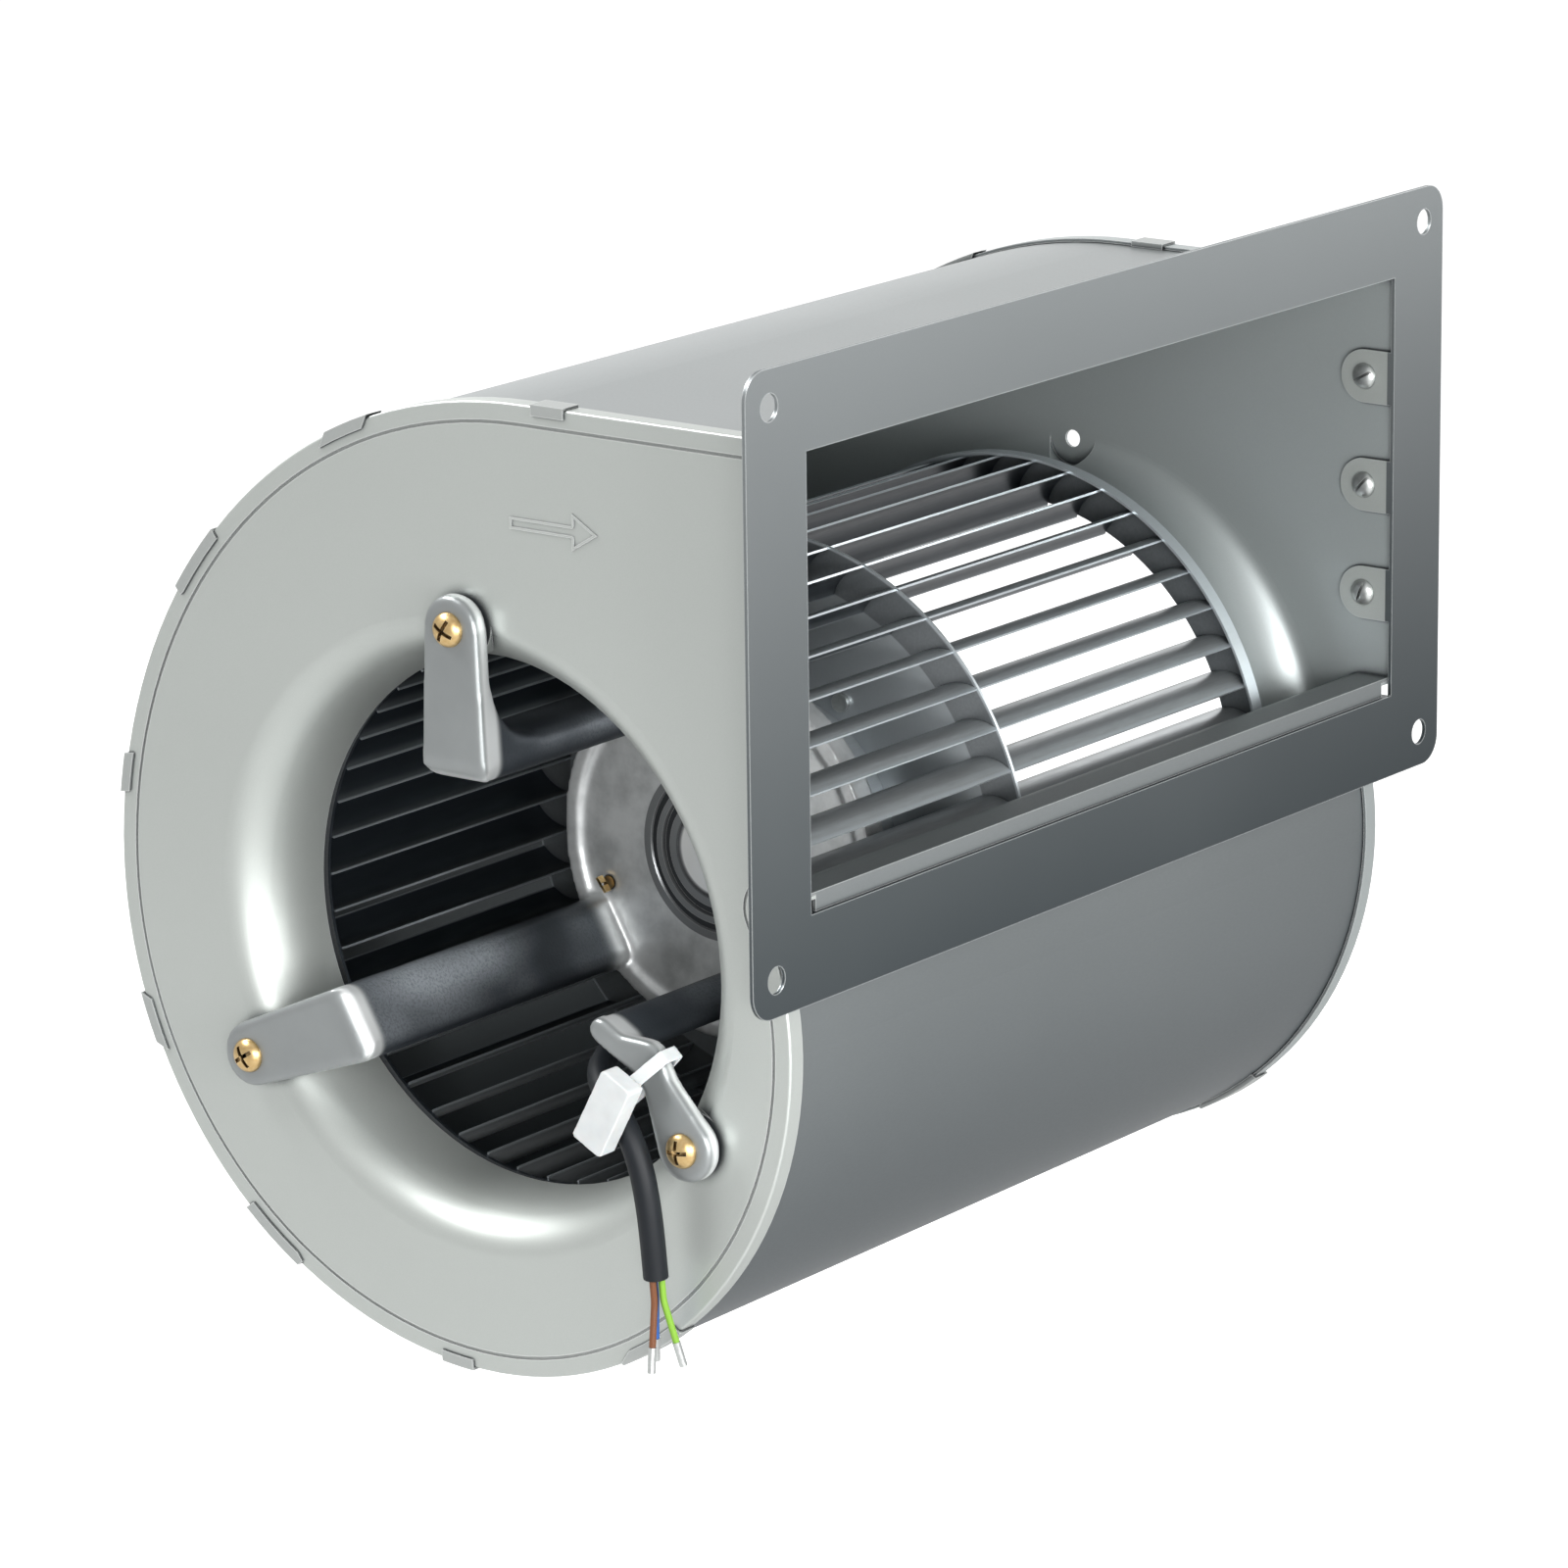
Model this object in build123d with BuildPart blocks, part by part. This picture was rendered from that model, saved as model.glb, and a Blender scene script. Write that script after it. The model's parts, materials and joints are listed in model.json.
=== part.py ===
from build123d import *
import os
from math import cos, pi, radians, sin, sqrt

os.makedirs("parts", exist_ok=True)

# A double-inlet centrifugal fan with an outer-rotor motor, in millimetres.
# +X is the way the air leaves, Y is the fan's axis with the motor bracket at -Y, +Z is up.
# The origin is the middle of the outlet opening, on the outlet flange's front face.

# Sheet-metal housing
house_width = 366.0
plate_t = 1.2
wrap_t = 1.0
scroll_radius = 136.0
scroll_step = 25.0
scroll_drop = 20.0
tongue_angle = 25.5
nose_radius = 7.0
flange_reach = 145.0
rim_proud = 1.4
rim_lip = 7.0
rim_corner = 0.9
bead_inset = 5.0
bead_width = 1.2
bead_depth = 0.5

# Inlet bell, pressed into each side plate, with three flat pads for screws
bell_mouth_r = 114.5
bell_throat_r = 96.0
bell_depth = 33.0
pad_r = 11.5
pad_reach = 24.0
lug_circle_d = 225.0
lug_hole_r = 3.3
lug_count = 3
first_lug_angle = 90.0

# Rotation arrow, raised on the near plate
arrow_x = 40.0
arrow_z = 151.0
arrow_length = 38.0
arrow_shaft = 4.2
arrow_head = 11.0
arrow_barb = 13.0
arrow_line = 0.9
arrow_raise = 0.4

# Clips that crimp the side plates' rims to the wrap
clip_count = 8
clip_start = 105.0
clip_pitch = 92.0
clip_length = 14.0
clip_t = 0.8
clip_fold = 1.8
clip_gap = 0.05

# Outlet flange
flange_width = 426.0
flange_height = 220.0
flange_t = 1.5
flange_corner_r = 10.0
flange_hole_r = 4.75
flange_hole_inset = 13.0
opening_height = 158.0
opening_lip = 10.0
tab_count = 3
tab_pitch = 41.0
tab_width = 20.0
tab_screw_x = 13.0

# Slotted screws through the flange tabs
tab_screw_r = 1.95
tab_head_r = 4.8
tab_head_h = 2.4

# Cast motor bracket
lug_t = 9.0
lug_r = 11.7
leg_mid_r = 65.0
leg_width = 28.0
leg_t = 14.0
leg_round = 6.0
leg_shifts = [0.0, 7.0]
strap_bend = 9.0
root_fillet = 22.0
strap_bevel = 1.2
bar_mid_r = 68.0
bar_shift = 13.5
bar_width = 18.0
bar_t = 9.0
bar_ear = 1.5
neck_in = 19.6
neck_side = 12.2
neck_r = 6.4
neck_t = 6.5
knee_in = 28.0
knee_side = 17.0
knee_r = 7.2
hub_r = 70.0
hub_front = 43.0
hub_t = 9.0
hub_rim = 6.0
hub_rim_h = 2.0
hub_bore_r = 21.5

# Screws and nuts of the bracket
lug_screw_r = 3.0
lug_head_r = 6.2
lug_head_h = 4.0
lug_screw_reach = 8.0
nut_r = 5.5
nut_h = 5.0
hub_screw_r = 2.5
hub_head_r = 4.75
hub_head_h = 3.0
hub_screw_circle_r = 55.0
hub_screw_count = 4
hub_screw_angle = 21.0
hub_screw_rest = 1.0
thread_gap = 0.05

# Stator
spigot_gap = 0.1
spigot_front = 40.0
bush_flange_r = 61.0
bush_flange_t = 5.0
bush_r = 19.0
bush_end = 29.0
bearing_r = 16.0
bearing_width = 10.0
bearing_front = 37.0
bearing_rest = 0.6
shoulder_r = 13.0
washer_t = 1.4
core_r = 44.4
core_front = 10.0
core_length = 32.0
tooth_count = 12
tooth_width = 8.0
tooth_tip = 3.4
slot_mouth = 2.4
core_back = 8.0
coil_t = 3.0
coil_overhang = 8.0
coil_start_r = 29.0
coil_end_r = 40.0
coil_gap = 0.1
cap_r = 33.5
cap_spigot_r = 21.0
cap_step = 1.0
cap_disc_r = 18.5

# Rotor
shaft_r = 6.0
shaft_front = 39.3
circlip_r = 9.0
circlip_t = 1.0
circlip_depth = 0.6
circlip_mouth = 6.0
press_gap = 0.02
ball_gap = 0.05
ball_count = 7
ball_r = 2.15
ball_circle_r = 11.0
can_r = 54.0
can_wall = 2.0
can_front = 26.0
can_end = 44.0
can_floor = 2.5
can_corner = 4.0
can_boss_r = 9.0
can_vent_r = 5.0
can_vent_circle_r = 31.0
can_vent_count = 6
collar_r = 68.0
collar_t = 2.0
air_gap = 0.6

# Impeller
impeller_r = 112.5
blade_inner_r = 96.0
blade_count = 44
blade_t = 0.8
blade_turn = 62.0
inlet_gap = 3.5
disc_front = 8.6
disc_t = 1.2
disc_gap = 0.05
end_ring_t = 1.5
end_ring_inner_r = 97.0
ring_lip = 6.0
ring_lip_t = 1.0
ring_gap = 0.3
rivet_count = 6
rivet_r = 2.0
rivet_head_r = 3.5
rivet_head_h = 1.6
rivet_tail_r = 3.0
rivet_tail_h = 1.2
rivet_circle_r = 61.0

# Lead, gland and clamp
lead_d = 8.8
gland_r = 6.0
gland_flange_r = 8.0
gland_flange_t = 3.0
gland_circle_r = 55.0
gland_angle = -33.0
gland_gap = 0.05
gland_taper = 12.0
lead_arc_share = 0.45
core_d = 2.4
core_circle_r = 1.9
core_spread = 3.2
core_length_bare = 24.0
core_knee = 0.35
core_bend = 20.0
ferrule_r = 1.45
ferrule_length = 9.0
clamp_length = 29.0
clamp_width = 13.5
clamp_thick = 8.0
clamp_lean = 62.0
clamp_corner = 1.5
clamp_x = 78.4
clamp_z = -41.5
clamp_rise = 12.0
clamp_point = 6
band_in = 24.0
band_side = 15.5
band_reach = 8.6
clamp_slack = 1.8
strap_t = 1.3
strap_width = 5.0
strap_gap = 0.3

# Worked out from the sizes above
half_width = house_width / 2
inner_half = half_width - plate_t
impeller_half = half_width - bell_depth - inlet_gap
lug_circle_r = lug_circle_d / 2
centre_low = -scroll_drop
centre_high = centre_low + scroll_step
scroll_top = centre_high + scroll_radius + 2 * scroll_step
outlet_rise = scroll_top - wrap_t - opening_height / 2
front_x = flange_reach - flange_t
nose_x = scroll_step + (scroll_radius - scroll_step + nose_radius) * cos(radians(tongue_angle))
nose_z = centre_low + (scroll_radius - scroll_step + nose_radius) * sin(radians(tongue_angle))
lug_angles = [first_lug_angle + i * 360 / lug_count for i in range(lug_count)]
opening_width = 2 * (inner_half - flange_t)
floor_z = nose_z + nose_radius
floor_turn = floor_z - (outlet_rise - opening_height / 2)
hole_pitch_y = flange_width - 2 * flange_hole_inset
hole_pitch_z = flange_height - 2 * flange_hole_inset
lug_spots = [(lug_circle_r * cos(radians(a)), lug_circle_r * sin(radians(a))) for a in lug_angles]
tab_rises = [(i - (tab_count - 1) / 2) * tab_pitch for i in range(tab_count)]
leg_inner_r = leg_mid_r - leg_t / 2
leg_outer_r = leg_mid_r + leg_t / 2
hub_back = hub_front - hub_t
gland_spot = (gland_circle_r * cos(radians(gland_angle)), gland_circle_r * sin(radians(gland_angle)))
bearing_starts = [-bearing_front, bush_end - bearing_rest - bearing_width]
inner_ring_r = ball_circle_r - ball_r - ball_gap
outer_ring_r = ball_circle_r + ball_r + ball_gap
disc_back = disc_front - disc_t
blade_end = impeller_half - end_ring_t
ring_lip_r = impeller_r + ring_gap
lead_r = lead_d / 2

fan = Plane(origin=(-flange_reach, 0, -outlet_rise), x_dir=(1, 0, 0), z_dir=(0, -1, 0))
radial = Plane(origin=fan.origin, x_dir=(1, 0, 0), z_dir=(0, 0, 1))
fan_axis = Axis(fan.origin, (0, 1, 0))
outlet = Plane.YZ


def fan_turned(angle):
    """The fan's plane, with its local X along the given angle."""
    return Plane(origin=fan.origin, x_dir=(cos(radians(angle)), 0, sin(radians(angle))), z_dir=fan.z_dir)


def scroll_path(inset):
    """The scroll's outline from the floor behind the nose round to the top wall's front edge."""
    tip = 90 + tongue_angle
    with BuildLine() as path:
        Line((front_x, nose_z + nose_radius + inset), (nose_x, nose_z + nose_radius + inset))
        CenterArc((nose_x, nose_z), nose_radius + inset, 90, tip)
        CenterArc((scroll_step, centre_low), scroll_radius - scroll_step - inset, tongue_angle, -tongue_angle)
        CenterArc((0, centre_low), scroll_radius - inset, 0, -90)
        CenterArc((0, centre_high), scroll_radius + scroll_step - inset, 270, -90)
        CenterArc((scroll_step, centre_high), scroll_radius + 2 * scroll_step - inset, 180, -90)
        Line((scroll_step, scroll_top - inset), (front_x, scroll_top - inset))
    return path.line


def scroll_face(inset):
    """Everything inside the scroll's outline, closed along the flange."""
    with BuildSketch() as face:
        with BuildLine():
            add(scroll_path(inset))
            Line((front_x, scroll_top - inset), (front_x, nose_z + nose_radius + inset))
        make_face()
    return face.sketch


def turned(*points):
    """A closed profile in radius and Y, ready to revolve about the fan's axis."""
    with BuildSketch(radial) as profile:
        with BuildLine():
            Polyline(*points, close=True)
        make_face()
    return profile.sketch


def bell_curve(inset):
    """A quarter of the bell's ellipse, from its throat up to the plate, seen in radius and Y."""
    middle = (bell_mouth_r, bell_depth - half_width)
    return EllipticalCenterArc(
        middle, bell_mouth_r - bell_throat_r - inset, bell_depth - inset, start_angle=180, arc_size=90
    )


def bell_profile():
    """The pressed bell: two quarter ellipses, one sheet apart."""
    with BuildSketch(radial) as profile:
        with BuildLine():
            shown = bell_curve(0)
            hidden = bell_curve(plate_t)
            Line(shown @ 0, hidden @ 0)
            Line(shown @ 1, hidden @ 1)
        make_face()
    return profile.sketch


def behind_bell():
    """The space behind the bell's sheet, where the pads' walls end."""
    outside = bell_mouth_r + 2 * pad_r
    deep = bell_depth + pad_reach - half_width
    with BuildSketch(radial) as space:
        with BuildLine():
            hidden = bell_curve(plate_t / 2)
            Polyline(
                hidden @ 1, (outside, (hidden @ 1).Y), (outside, deep), ((hidden @ 0).X, deep), hidden @ 0,
            )
        make_face()
    return space.sketch


def crimp_windows():
    """Short lengths of the rim, evenly spaced back from the top wall's front edge."""
    path = Wire(scroll_path(-rim_proud).edges())
    with BuildSketch() as windows:
        for i in range(clip_count):
            reach = path.length - clip_start - i * clip_pitch
            spot = path.position_at(reach, position_mode=PositionMode.LENGTH)
            heading = path.tangent_at(reach, position_mode=PositionMode.LENGTH)
            with Locations(Location((spot.X, spot.Y, 0), (0, 0, Vector(1, 0, 0).get_signed_angle(heading)))):
                Rectangle(clip_length, 4 * rim_lip)
    return windows.sketch


def crimp_band(outer, inner):
    """The stretches of the rim under the clips, between two insets."""
    with BuildSketch() as band:
        add(scroll_face(outer))
        add(scroll_face(inner), mode=Mode.SUBTRACT)
        add(crimp_windows(), mode=Mode.INTERSECT)
    return band.sketch


def strap(stations):
    """A flat strap whose edges run tangent to a chain of circles."""
    with BuildSketch() as outline:
        for (start, start_r), (end, end_r) in zip(stations, stations[1:]):
            with BuildSketch(mode=Mode.PRIVATE) as ends:
                with Locations(start):
                    Circle(start_r)
                with Locations(end):
                    Circle(end_r)
            make_hull(ends.edges())
    return outline.sketch


def blade_profile():
    """One forward-curved blade: radial at its inner edge, leaning into the turn at its outer edge."""
    turn = radians(blade_turn)
    tip_r = impeller_r - blade_t / 2
    chord_2 = sin(turn) ** 2 + (1 - cos(turn)) ** 2
    lever = blade_inner_r * sin(turn)
    bend = (sqrt(lever ** 2 + chord_2 * (tip_r ** 2 - blade_inner_r ** 2)) - lever) / chord_2
    middle = (blade_inner_r, -bend)
    with BuildSketch() as profile:
        with BuildLine():
            front = CenterArc(middle, bend - blade_t / 2, 90 - blade_turn, blade_turn)
            back = CenterArc(middle, bend + blade_t / 2, 90 - blade_turn, blade_turn)
            Line(front @ 0, back @ 0)
            Line(front @ 1, back @ 1)
        make_face()
    return profile.sketch


def blade_ring():
    with BuildSketch() as ring:
        with PolarLocations(0, blade_count):
            add(blade_profile())
    return ring.sketch


def plate_blank():
    """A side plate on the near side, with its rim, bell, pads and screw holes."""
    with BuildPart() as pads:
        with BuildSketch(fan.offset(half_width)):
            with Locations(*lug_spots):
                Circle(pad_r)
        extrude(amount=-pad_reach)
        with BuildSketch(fan.offset(inner_half)):
            with Locations(*lug_spots):
                Circle(pad_r - plate_t)
        extrude(amount=-pad_reach, mode=Mode.SUBTRACT)
        revolve(behind_bell(), axis=fan_axis, mode=Mode.SUBTRACT)
    with BuildPart() as blank:
        with BuildSketch(fan.offset(half_width)):
            add(scroll_face(-rim_proud))
            Circle(bell_mouth_r, mode=Mode.SUBTRACT)
        extrude(amount=-plate_t)
        rim = blank.faces().sort_by(Axis.Y)[0].outer_wire().edges()
        fillet(rim.filter_by(lambda edge: edge.center().X < -flange_t - rim_corner), rim_corner)
        with BuildSketch(fan.offset(inner_half)):
            add(scroll_face(-rim_proud))
            add(scroll_face(plate_t - rim_proud), mode=Mode.SUBTRACT)
        extrude(amount=-(rim_lip - plate_t))
        with BuildSketch(fan.offset(half_width)):
            add(scroll_face(bead_inset))
            add(scroll_face(bead_inset + bead_width), mode=Mode.SUBTRACT)
        extrude(amount=-bead_depth, mode=Mode.SUBTRACT)
        revolve(bell_profile(), axis=fan_axis)
        with BuildSketch(fan.offset(inner_half)):
            with Locations(*lug_spots):
                Circle(pad_r - plate_t)
        extrude(amount=-pad_reach, mode=Mode.SUBTRACT)
        add(pads.part)
        with BuildSketch(fan.offset(half_width)):
            with Locations(*lug_spots):
                Circle(lug_hole_r)
            with Locations(*[(flange_reach - tab_screw_x, outlet_rise + rise) for rise in tab_rises]):
                Circle(tab_screw_r + thread_gap)
        extrude(amount=-plate_t, mode=Mode.SUBTRACT)
    return blank.part


def finish(piece, name):
    piece.label = name
    export_step(piece, f"parts/{name}.step")


with BuildPart() as side_plate_near:
    add(plate_blank())
    # the rotation arrow, a raised outline
    with BuildSketch(fan.offset(half_width)):
        with Locations((arrow_x, arrow_z)):
            with BuildSketch(mode=Mode.PRIVATE) as arrow:
                with BuildLine():
                    Polyline(
                        (-arrow_length / 2, -arrow_shaft / 2),
                        (arrow_length / 2 - arrow_head, -arrow_shaft / 2),
                        (arrow_length / 2 - arrow_head, -arrow_barb / 2), (arrow_length / 2, 0),
                        (arrow_length / 2 - arrow_head, arrow_barb / 2),
                        (arrow_length / 2 - arrow_head, arrow_shaft / 2),
                        (-arrow_length / 2, arrow_shaft / 2), close=True,
                    )
                make_face()
            add(arrow.sketch)
            add(offset(arrow.sketch, -arrow_line, mode=Mode.PRIVATE), mode=Mode.SUBTRACT)
    extrude(amount=arrow_raise)
finish(side_plate_near.part, "side_plate_near")

with BuildPart() as side_plate_far:
    mirror(plate_blank(), about=Plane.XZ)
finish(side_plate_far.part, "side_plate_far")

with BuildPart() as scroll_wrap:
    with BuildSketch(fan.offset(inner_half)):
        add(scroll_face(0))
        add(scroll_face(wrap_t), mode=Mode.SUBTRACT)
    extrude(amount=-2 * inner_half)
    with BuildSketch(fan.offset(half_width - rim_lip)):
        with Locations((front_x, floor_z)):
            Rectangle(wrap_t, floor_turn, align=(Align.MAX, Align.MAX))
    extrude(amount=-2 * (half_width - rim_lip))
finish(scroll_wrap.part, "scroll_wrap")

with BuildPart() as crimp_clips:
    rim_out = -rim_proud - clip_gap
    with BuildSketch(fan.offset(half_width + clip_gap + clip_t)):
        add(crimp_band(rim_out - clip_t, clip_fold))
    extrude(amount=-clip_t)
    with BuildSketch(fan.offset(half_width + clip_gap + clip_t)):
        add(crimp_band(rim_out - clip_t, rim_out))
    extrude(amount=-(rim_lip + 2 * clip_gap + 2 * clip_t))
    with BuildSketch(fan.offset(half_width - rim_lip - clip_gap)):
        add(crimp_band(rim_out - clip_t, -clip_gap))
    extrude(amount=-clip_t)
    mirror(about=Plane.XZ)
finish(crimp_clips.part, "crimp_clips")

# The outlet flange, with three tabs folded back against each side plate
with BuildPart() as outlet_flange:
    with BuildSketch(outlet):
        RectangleRounded(flange_width, flange_height, flange_corner_r)
        Rectangle(opening_width, opening_height, mode=Mode.SUBTRACT)
        with GridLocations(hole_pitch_y, hole_pitch_z, 2, 2):
            Circle(flange_hole_r, mode=Mode.SUBTRACT)
    extrude(amount=-flange_t)
    with BuildSketch(outlet):
        with Locations((0, -opening_height / 2)):
            Rectangle(opening_width, flange_t, align=(Align.CENTER, Align.MAX))
    extrude(amount=-(flange_t + opening_lip))
    with BuildSketch(Plane.XZ.offset(inner_half - flange_t)):
        with Locations(*[(0, rise) for rise in tab_rises]):
            Rectangle(tab_screw_x, tab_width, align=(Align.MAX, Align.CENTER))
        with Locations(*[(-tab_screw_x, rise) for rise in tab_rises]):
            Circle(tab_width / 2)
            Circle(tab_screw_r + thread_gap, mode=Mode.SUBTRACT)
    extrude(amount=flange_t)
    mirror(about=Plane.XZ)
finish(outlet_flange.part, "outlet_flange")

with BuildPart() as flange_screws:
    tab_spots = [(-tab_screw_x, rise) for rise in tab_rises]
    with BuildSketch(Plane.XZ.offset(inner_half - flange_t - tab_head_h)):
        with Locations(*tab_spots):
            Circle(tab_head_r)
    extrude(amount=tab_head_h)
    chamfer(flange_screws.edges().group_by(Axis.Y)[-1], tab_head_h / 3)
    with BuildSketch(Plane.XZ.offset(inner_half - flange_t)):
        with Locations(*tab_spots):
            Circle(tab_screw_r)
    extrude(amount=flange_t + plate_t)
    mirror(about=Plane.XZ)
finish(flange_screws.part, "flange_screws")

# The cast bracket: two straps that round over into wide legs, and a narrow one on a flat bar
with BuildPart() as motor_bracket:
    strap_front = half_width + lug_t
    corner_r = leg_inner_r + leg_round
    corner_side = leg_width / 2 - leg_round
    for angle, shift in zip(lug_angles, leg_shifts):
        arm = fan_turned(angle)
        with BuildSketch(arm.offset(hub_back)):
            with Locations((leg_mid_r, shift)):
                RectangleRounded(leg_t, leg_width, leg_round)
        extrude(amount=strap_front - strap_bend - hub_back)
        with BuildPart(mode=Mode.PRIVATE) as bent:
            with BuildSketch(arm.offset(half_width - root_fillet)):
                with BuildSketch(mode=Mode.PRIVATE) as ends:
                    with Locations((corner_r, shift - corner_side), (corner_r, shift + corner_side)):
                        Circle(leg_round)
                    with Locations((lug_circle_r, 0)):
                        Circle(lug_r)
                make_hull(ends.edges())
            extrude(amount=root_fillet + lug_t)
            chamfer(bent.faces().sort_by(Axis.Y)[0].outer_wire().edges(), strap_bevel)
            with BuildSketch(Plane(origin=fan.origin, x_dir=arm.x_dir, z_dir=-arm.y_dir)):
                with BuildLine():
                    low = (leg_outer_r, half_width - root_fillet)
                    high = (leg_outer_r + root_fillet, half_width)
                    turned_down = (leg_inner_r, strap_front - strap_bend)
                    turned_out = (leg_inner_r + strap_bend, strap_front)
                    RadiusArc(low, high, root_fillet)
                    Polyline(
                        high, (lug_circle_r + 2 * lug_r, half_width), (lug_circle_r + 2 * lug_r, strap_front),
                        turned_out,
                    )
                    RadiusArc(turned_out, turned_down, -strap_bend)
                    Polyline(turned_down, (leg_inner_r, low[1]), low)
                make_face()
            extrude(amount=2 * leg_width, both=True, mode=Mode.INTERSECT)
        add(bent.part)
    arm = fan_turned(lug_angles[-1])
    bar_ends = [(bar_mid_r + side * (bar_width - bar_t) / 2, bar_shift) for side in (-1, 1)]
    with BuildPart(mode=Mode.PRIVATE) as narrow:
        with BuildSketch(arm.offset(hub_back)):
            add(strap([(spot, bar_t / 2) for spot in bar_ends]))
        extrude(amount=strap_front - hub_back)
        with BuildSketch(arm.offset(strap_front - neck_t)):
            add(
                strap(
                    [
                        (bar_ends[1], bar_t / 2), ((lug_circle_r - knee_in, knee_side), knee_r),
                        ((lug_circle_r - neck_in, neck_side), neck_r), ((lug_circle_r, 0), lug_r),
                    ]
                )
            )
        extrude(amount=neck_t)
        with BuildSketch(arm.offset(half_width)):
            with Locations((lug_circle_r, 0)):
                Circle(lug_r)
        extrude(amount=lug_t - neck_t)
        chamfer(narrow.faces().sort_by(Axis.Y)[0].outer_wire().edges(), strap_bevel)
    add(narrow.part)
    with BuildSketch(arm.offset(hub_back)):
        with Locations((bar_mid_r, bar_shift)):
            Circle(bar_width / 2 + bar_ear)
    extrude(amount=hub_t)
    revolve(
        turned(
            (hub_bore_r, -hub_back), (hub_r, -hub_back), (hub_r, -hub_front - hub_rim_h),
            (hub_r - hub_rim, -hub_front - hub_rim_h), (hub_r - hub_rim, -hub_front),
            (hub_bore_r, -hub_front),
        ),
        axis=fan_axis,
    )
    with BuildSketch(fan.offset(half_width)):
        with Locations(*lug_spots):
            Circle(lug_hole_r)
    extrude(amount=lug_t, mode=Mode.SUBTRACT)
    with BuildSketch(fan.offset(hub_back)):
        with PolarLocations(hub_screw_circle_r, hub_screw_count, hub_screw_angle):
            Circle(hub_screw_r + thread_gap)
        with Locations(gland_spot):
            Circle(gland_r + gland_gap)
    extrude(amount=hub_t, mode=Mode.SUBTRACT)
finish(motor_bracket.part, "motor_bracket")


def round_screws(spots, seat, head_r, head_h, shank_r, reach):
    """Screws with chamfered heads: seat is how far the heads' undersides lie from the middle."""
    with BuildPart() as screws:
        with BuildSketch(fan.offset(seat)):
            with Locations(*spots):
                Circle(head_r)
        extrude(amount=head_h)
        chamfer(screws.edges().group_by(Axis.Y)[0], head_h / 3)
        with BuildSketch(fan.offset(seat)):
            with Locations(*spots):
                Circle(shank_r)
        extrude(amount=-reach)
    return screws.part


with BuildPart() as bracket_screws:
    reach = lug_t + plate_t + nut_h + lug_screw_reach
    add(round_screws(lug_spots, half_width + lug_t, lug_head_r, lug_head_h, lug_screw_r, reach))
finish(bracket_screws.part, "bracket_screws")

with BuildPart() as bracket_nuts:
    with BuildSketch(fan.offset(inner_half)):
        with Locations(*lug_spots):
            RegularPolygon(nut_r, 6)
            Circle(lug_screw_r + thread_gap, mode=Mode.SUBTRACT)
    extrude(amount=-nut_h)
finish(bracket_nuts.part, "bracket_nuts")

hub_turns = [radians(hub_screw_angle + i * 360 / hub_screw_count) for i in range(hub_screw_count)]
hub_spots = [(hub_screw_circle_r * cos(turn), hub_screw_circle_r * sin(turn)) for turn in hub_turns]
with BuildPart() as hub_screws:
    reach = hub_t + bush_flange_t - hub_screw_rest
    add(round_screws(hub_spots, hub_front, hub_head_r, hub_head_h, hub_screw_r, reach))
finish(hub_screws.part, "hub_screws")

with BuildPart() as hub_cap:
    ring_fall = (cap_r - cap_disc_r) / 5
    crest = -hub_front - 2 * cap_step
    dip = -hub_front - cap_step / 2
    revolve(
        turned(
            (0, -spigot_front), (cap_spigot_r, -spigot_front), (cap_spigot_r, -hub_front),
            (cap_r, -hub_front),
            (cap_r, -hub_front - cap_step), (cap_r - ring_fall, -hub_front - cap_step),
            (cap_r - 1.2 * ring_fall, dip), (cap_r - 2 * ring_fall, dip), (cap_r - 2.2 * ring_fall, crest),
            (cap_r - 3 * ring_fall, crest), (cap_r - 3.2 * ring_fall, dip), (cap_r - 4 * ring_fall, dip),
            (cap_r - 4.2 * ring_fall, crest), (cap_disc_r - cap_step, crest),
            (cap_disc_r - 2 * cap_step, crest + cap_step / 2), (0, crest + cap_step / 2),
        ),
        axis=fan_axis,
    )
finish(hub_cap.part, "hub_cap")

# The stator: a flanged bush that carries the laminated core and both bearings
with BuildPart() as stator_bush:
    revolve(
        turned(
            (bearing_r, -spigot_front), (hub_bore_r - spigot_gap, -spigot_front),
            (hub_bore_r - spigot_gap, -hub_back),
            (bush_flange_r, -hub_back), (bush_flange_r, bush_flange_t - hub_back),
            (bush_r, bush_flange_t - hub_back), (bush_r, bush_end), (bearing_r, bush_end),
            (bearing_r, bearing_starts[1] - washer_t), (shoulder_r, bearing_starts[1] - washer_t),
            (shoulder_r, bearing_starts[0] + bearing_width), (bearing_r, bearing_starts[0] + bearing_width),
        ),
        axis=fan_axis,
    )
    with BuildSketch(fan.offset(hub_back)):
        with Locations(*hub_spots):
            Circle(hub_screw_r + thread_gap)
    extrude(amount=-bush_flange_t, mode=Mode.SUBTRACT)
finish(stator_bush.part, "stator_bush")

with BuildPart() as stator_core:
    pitch = 360 / tooth_count
    with BuildSketch(fan.offset(core_front)):
        Circle(core_r)
        Circle(core_r - tooth_tip, mode=Mode.SUBTRACT)
        Circle(bush_r + core_back)
        with PolarLocations((bush_r + core_r) / 2, tooth_count):
            Rectangle(core_r - bush_r - tooth_tip, tooth_width)
        with PolarLocations(core_r - tooth_tip / 2, tooth_count, pitch / 2):
            Rectangle(2 * tooth_tip, slot_mouth, mode=Mode.SUBTRACT)
        Circle(bush_r + press_gap, mode=Mode.SUBTRACT)
    extrude(amount=-core_length)
finish(stator_core.part, "stator_core")

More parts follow.
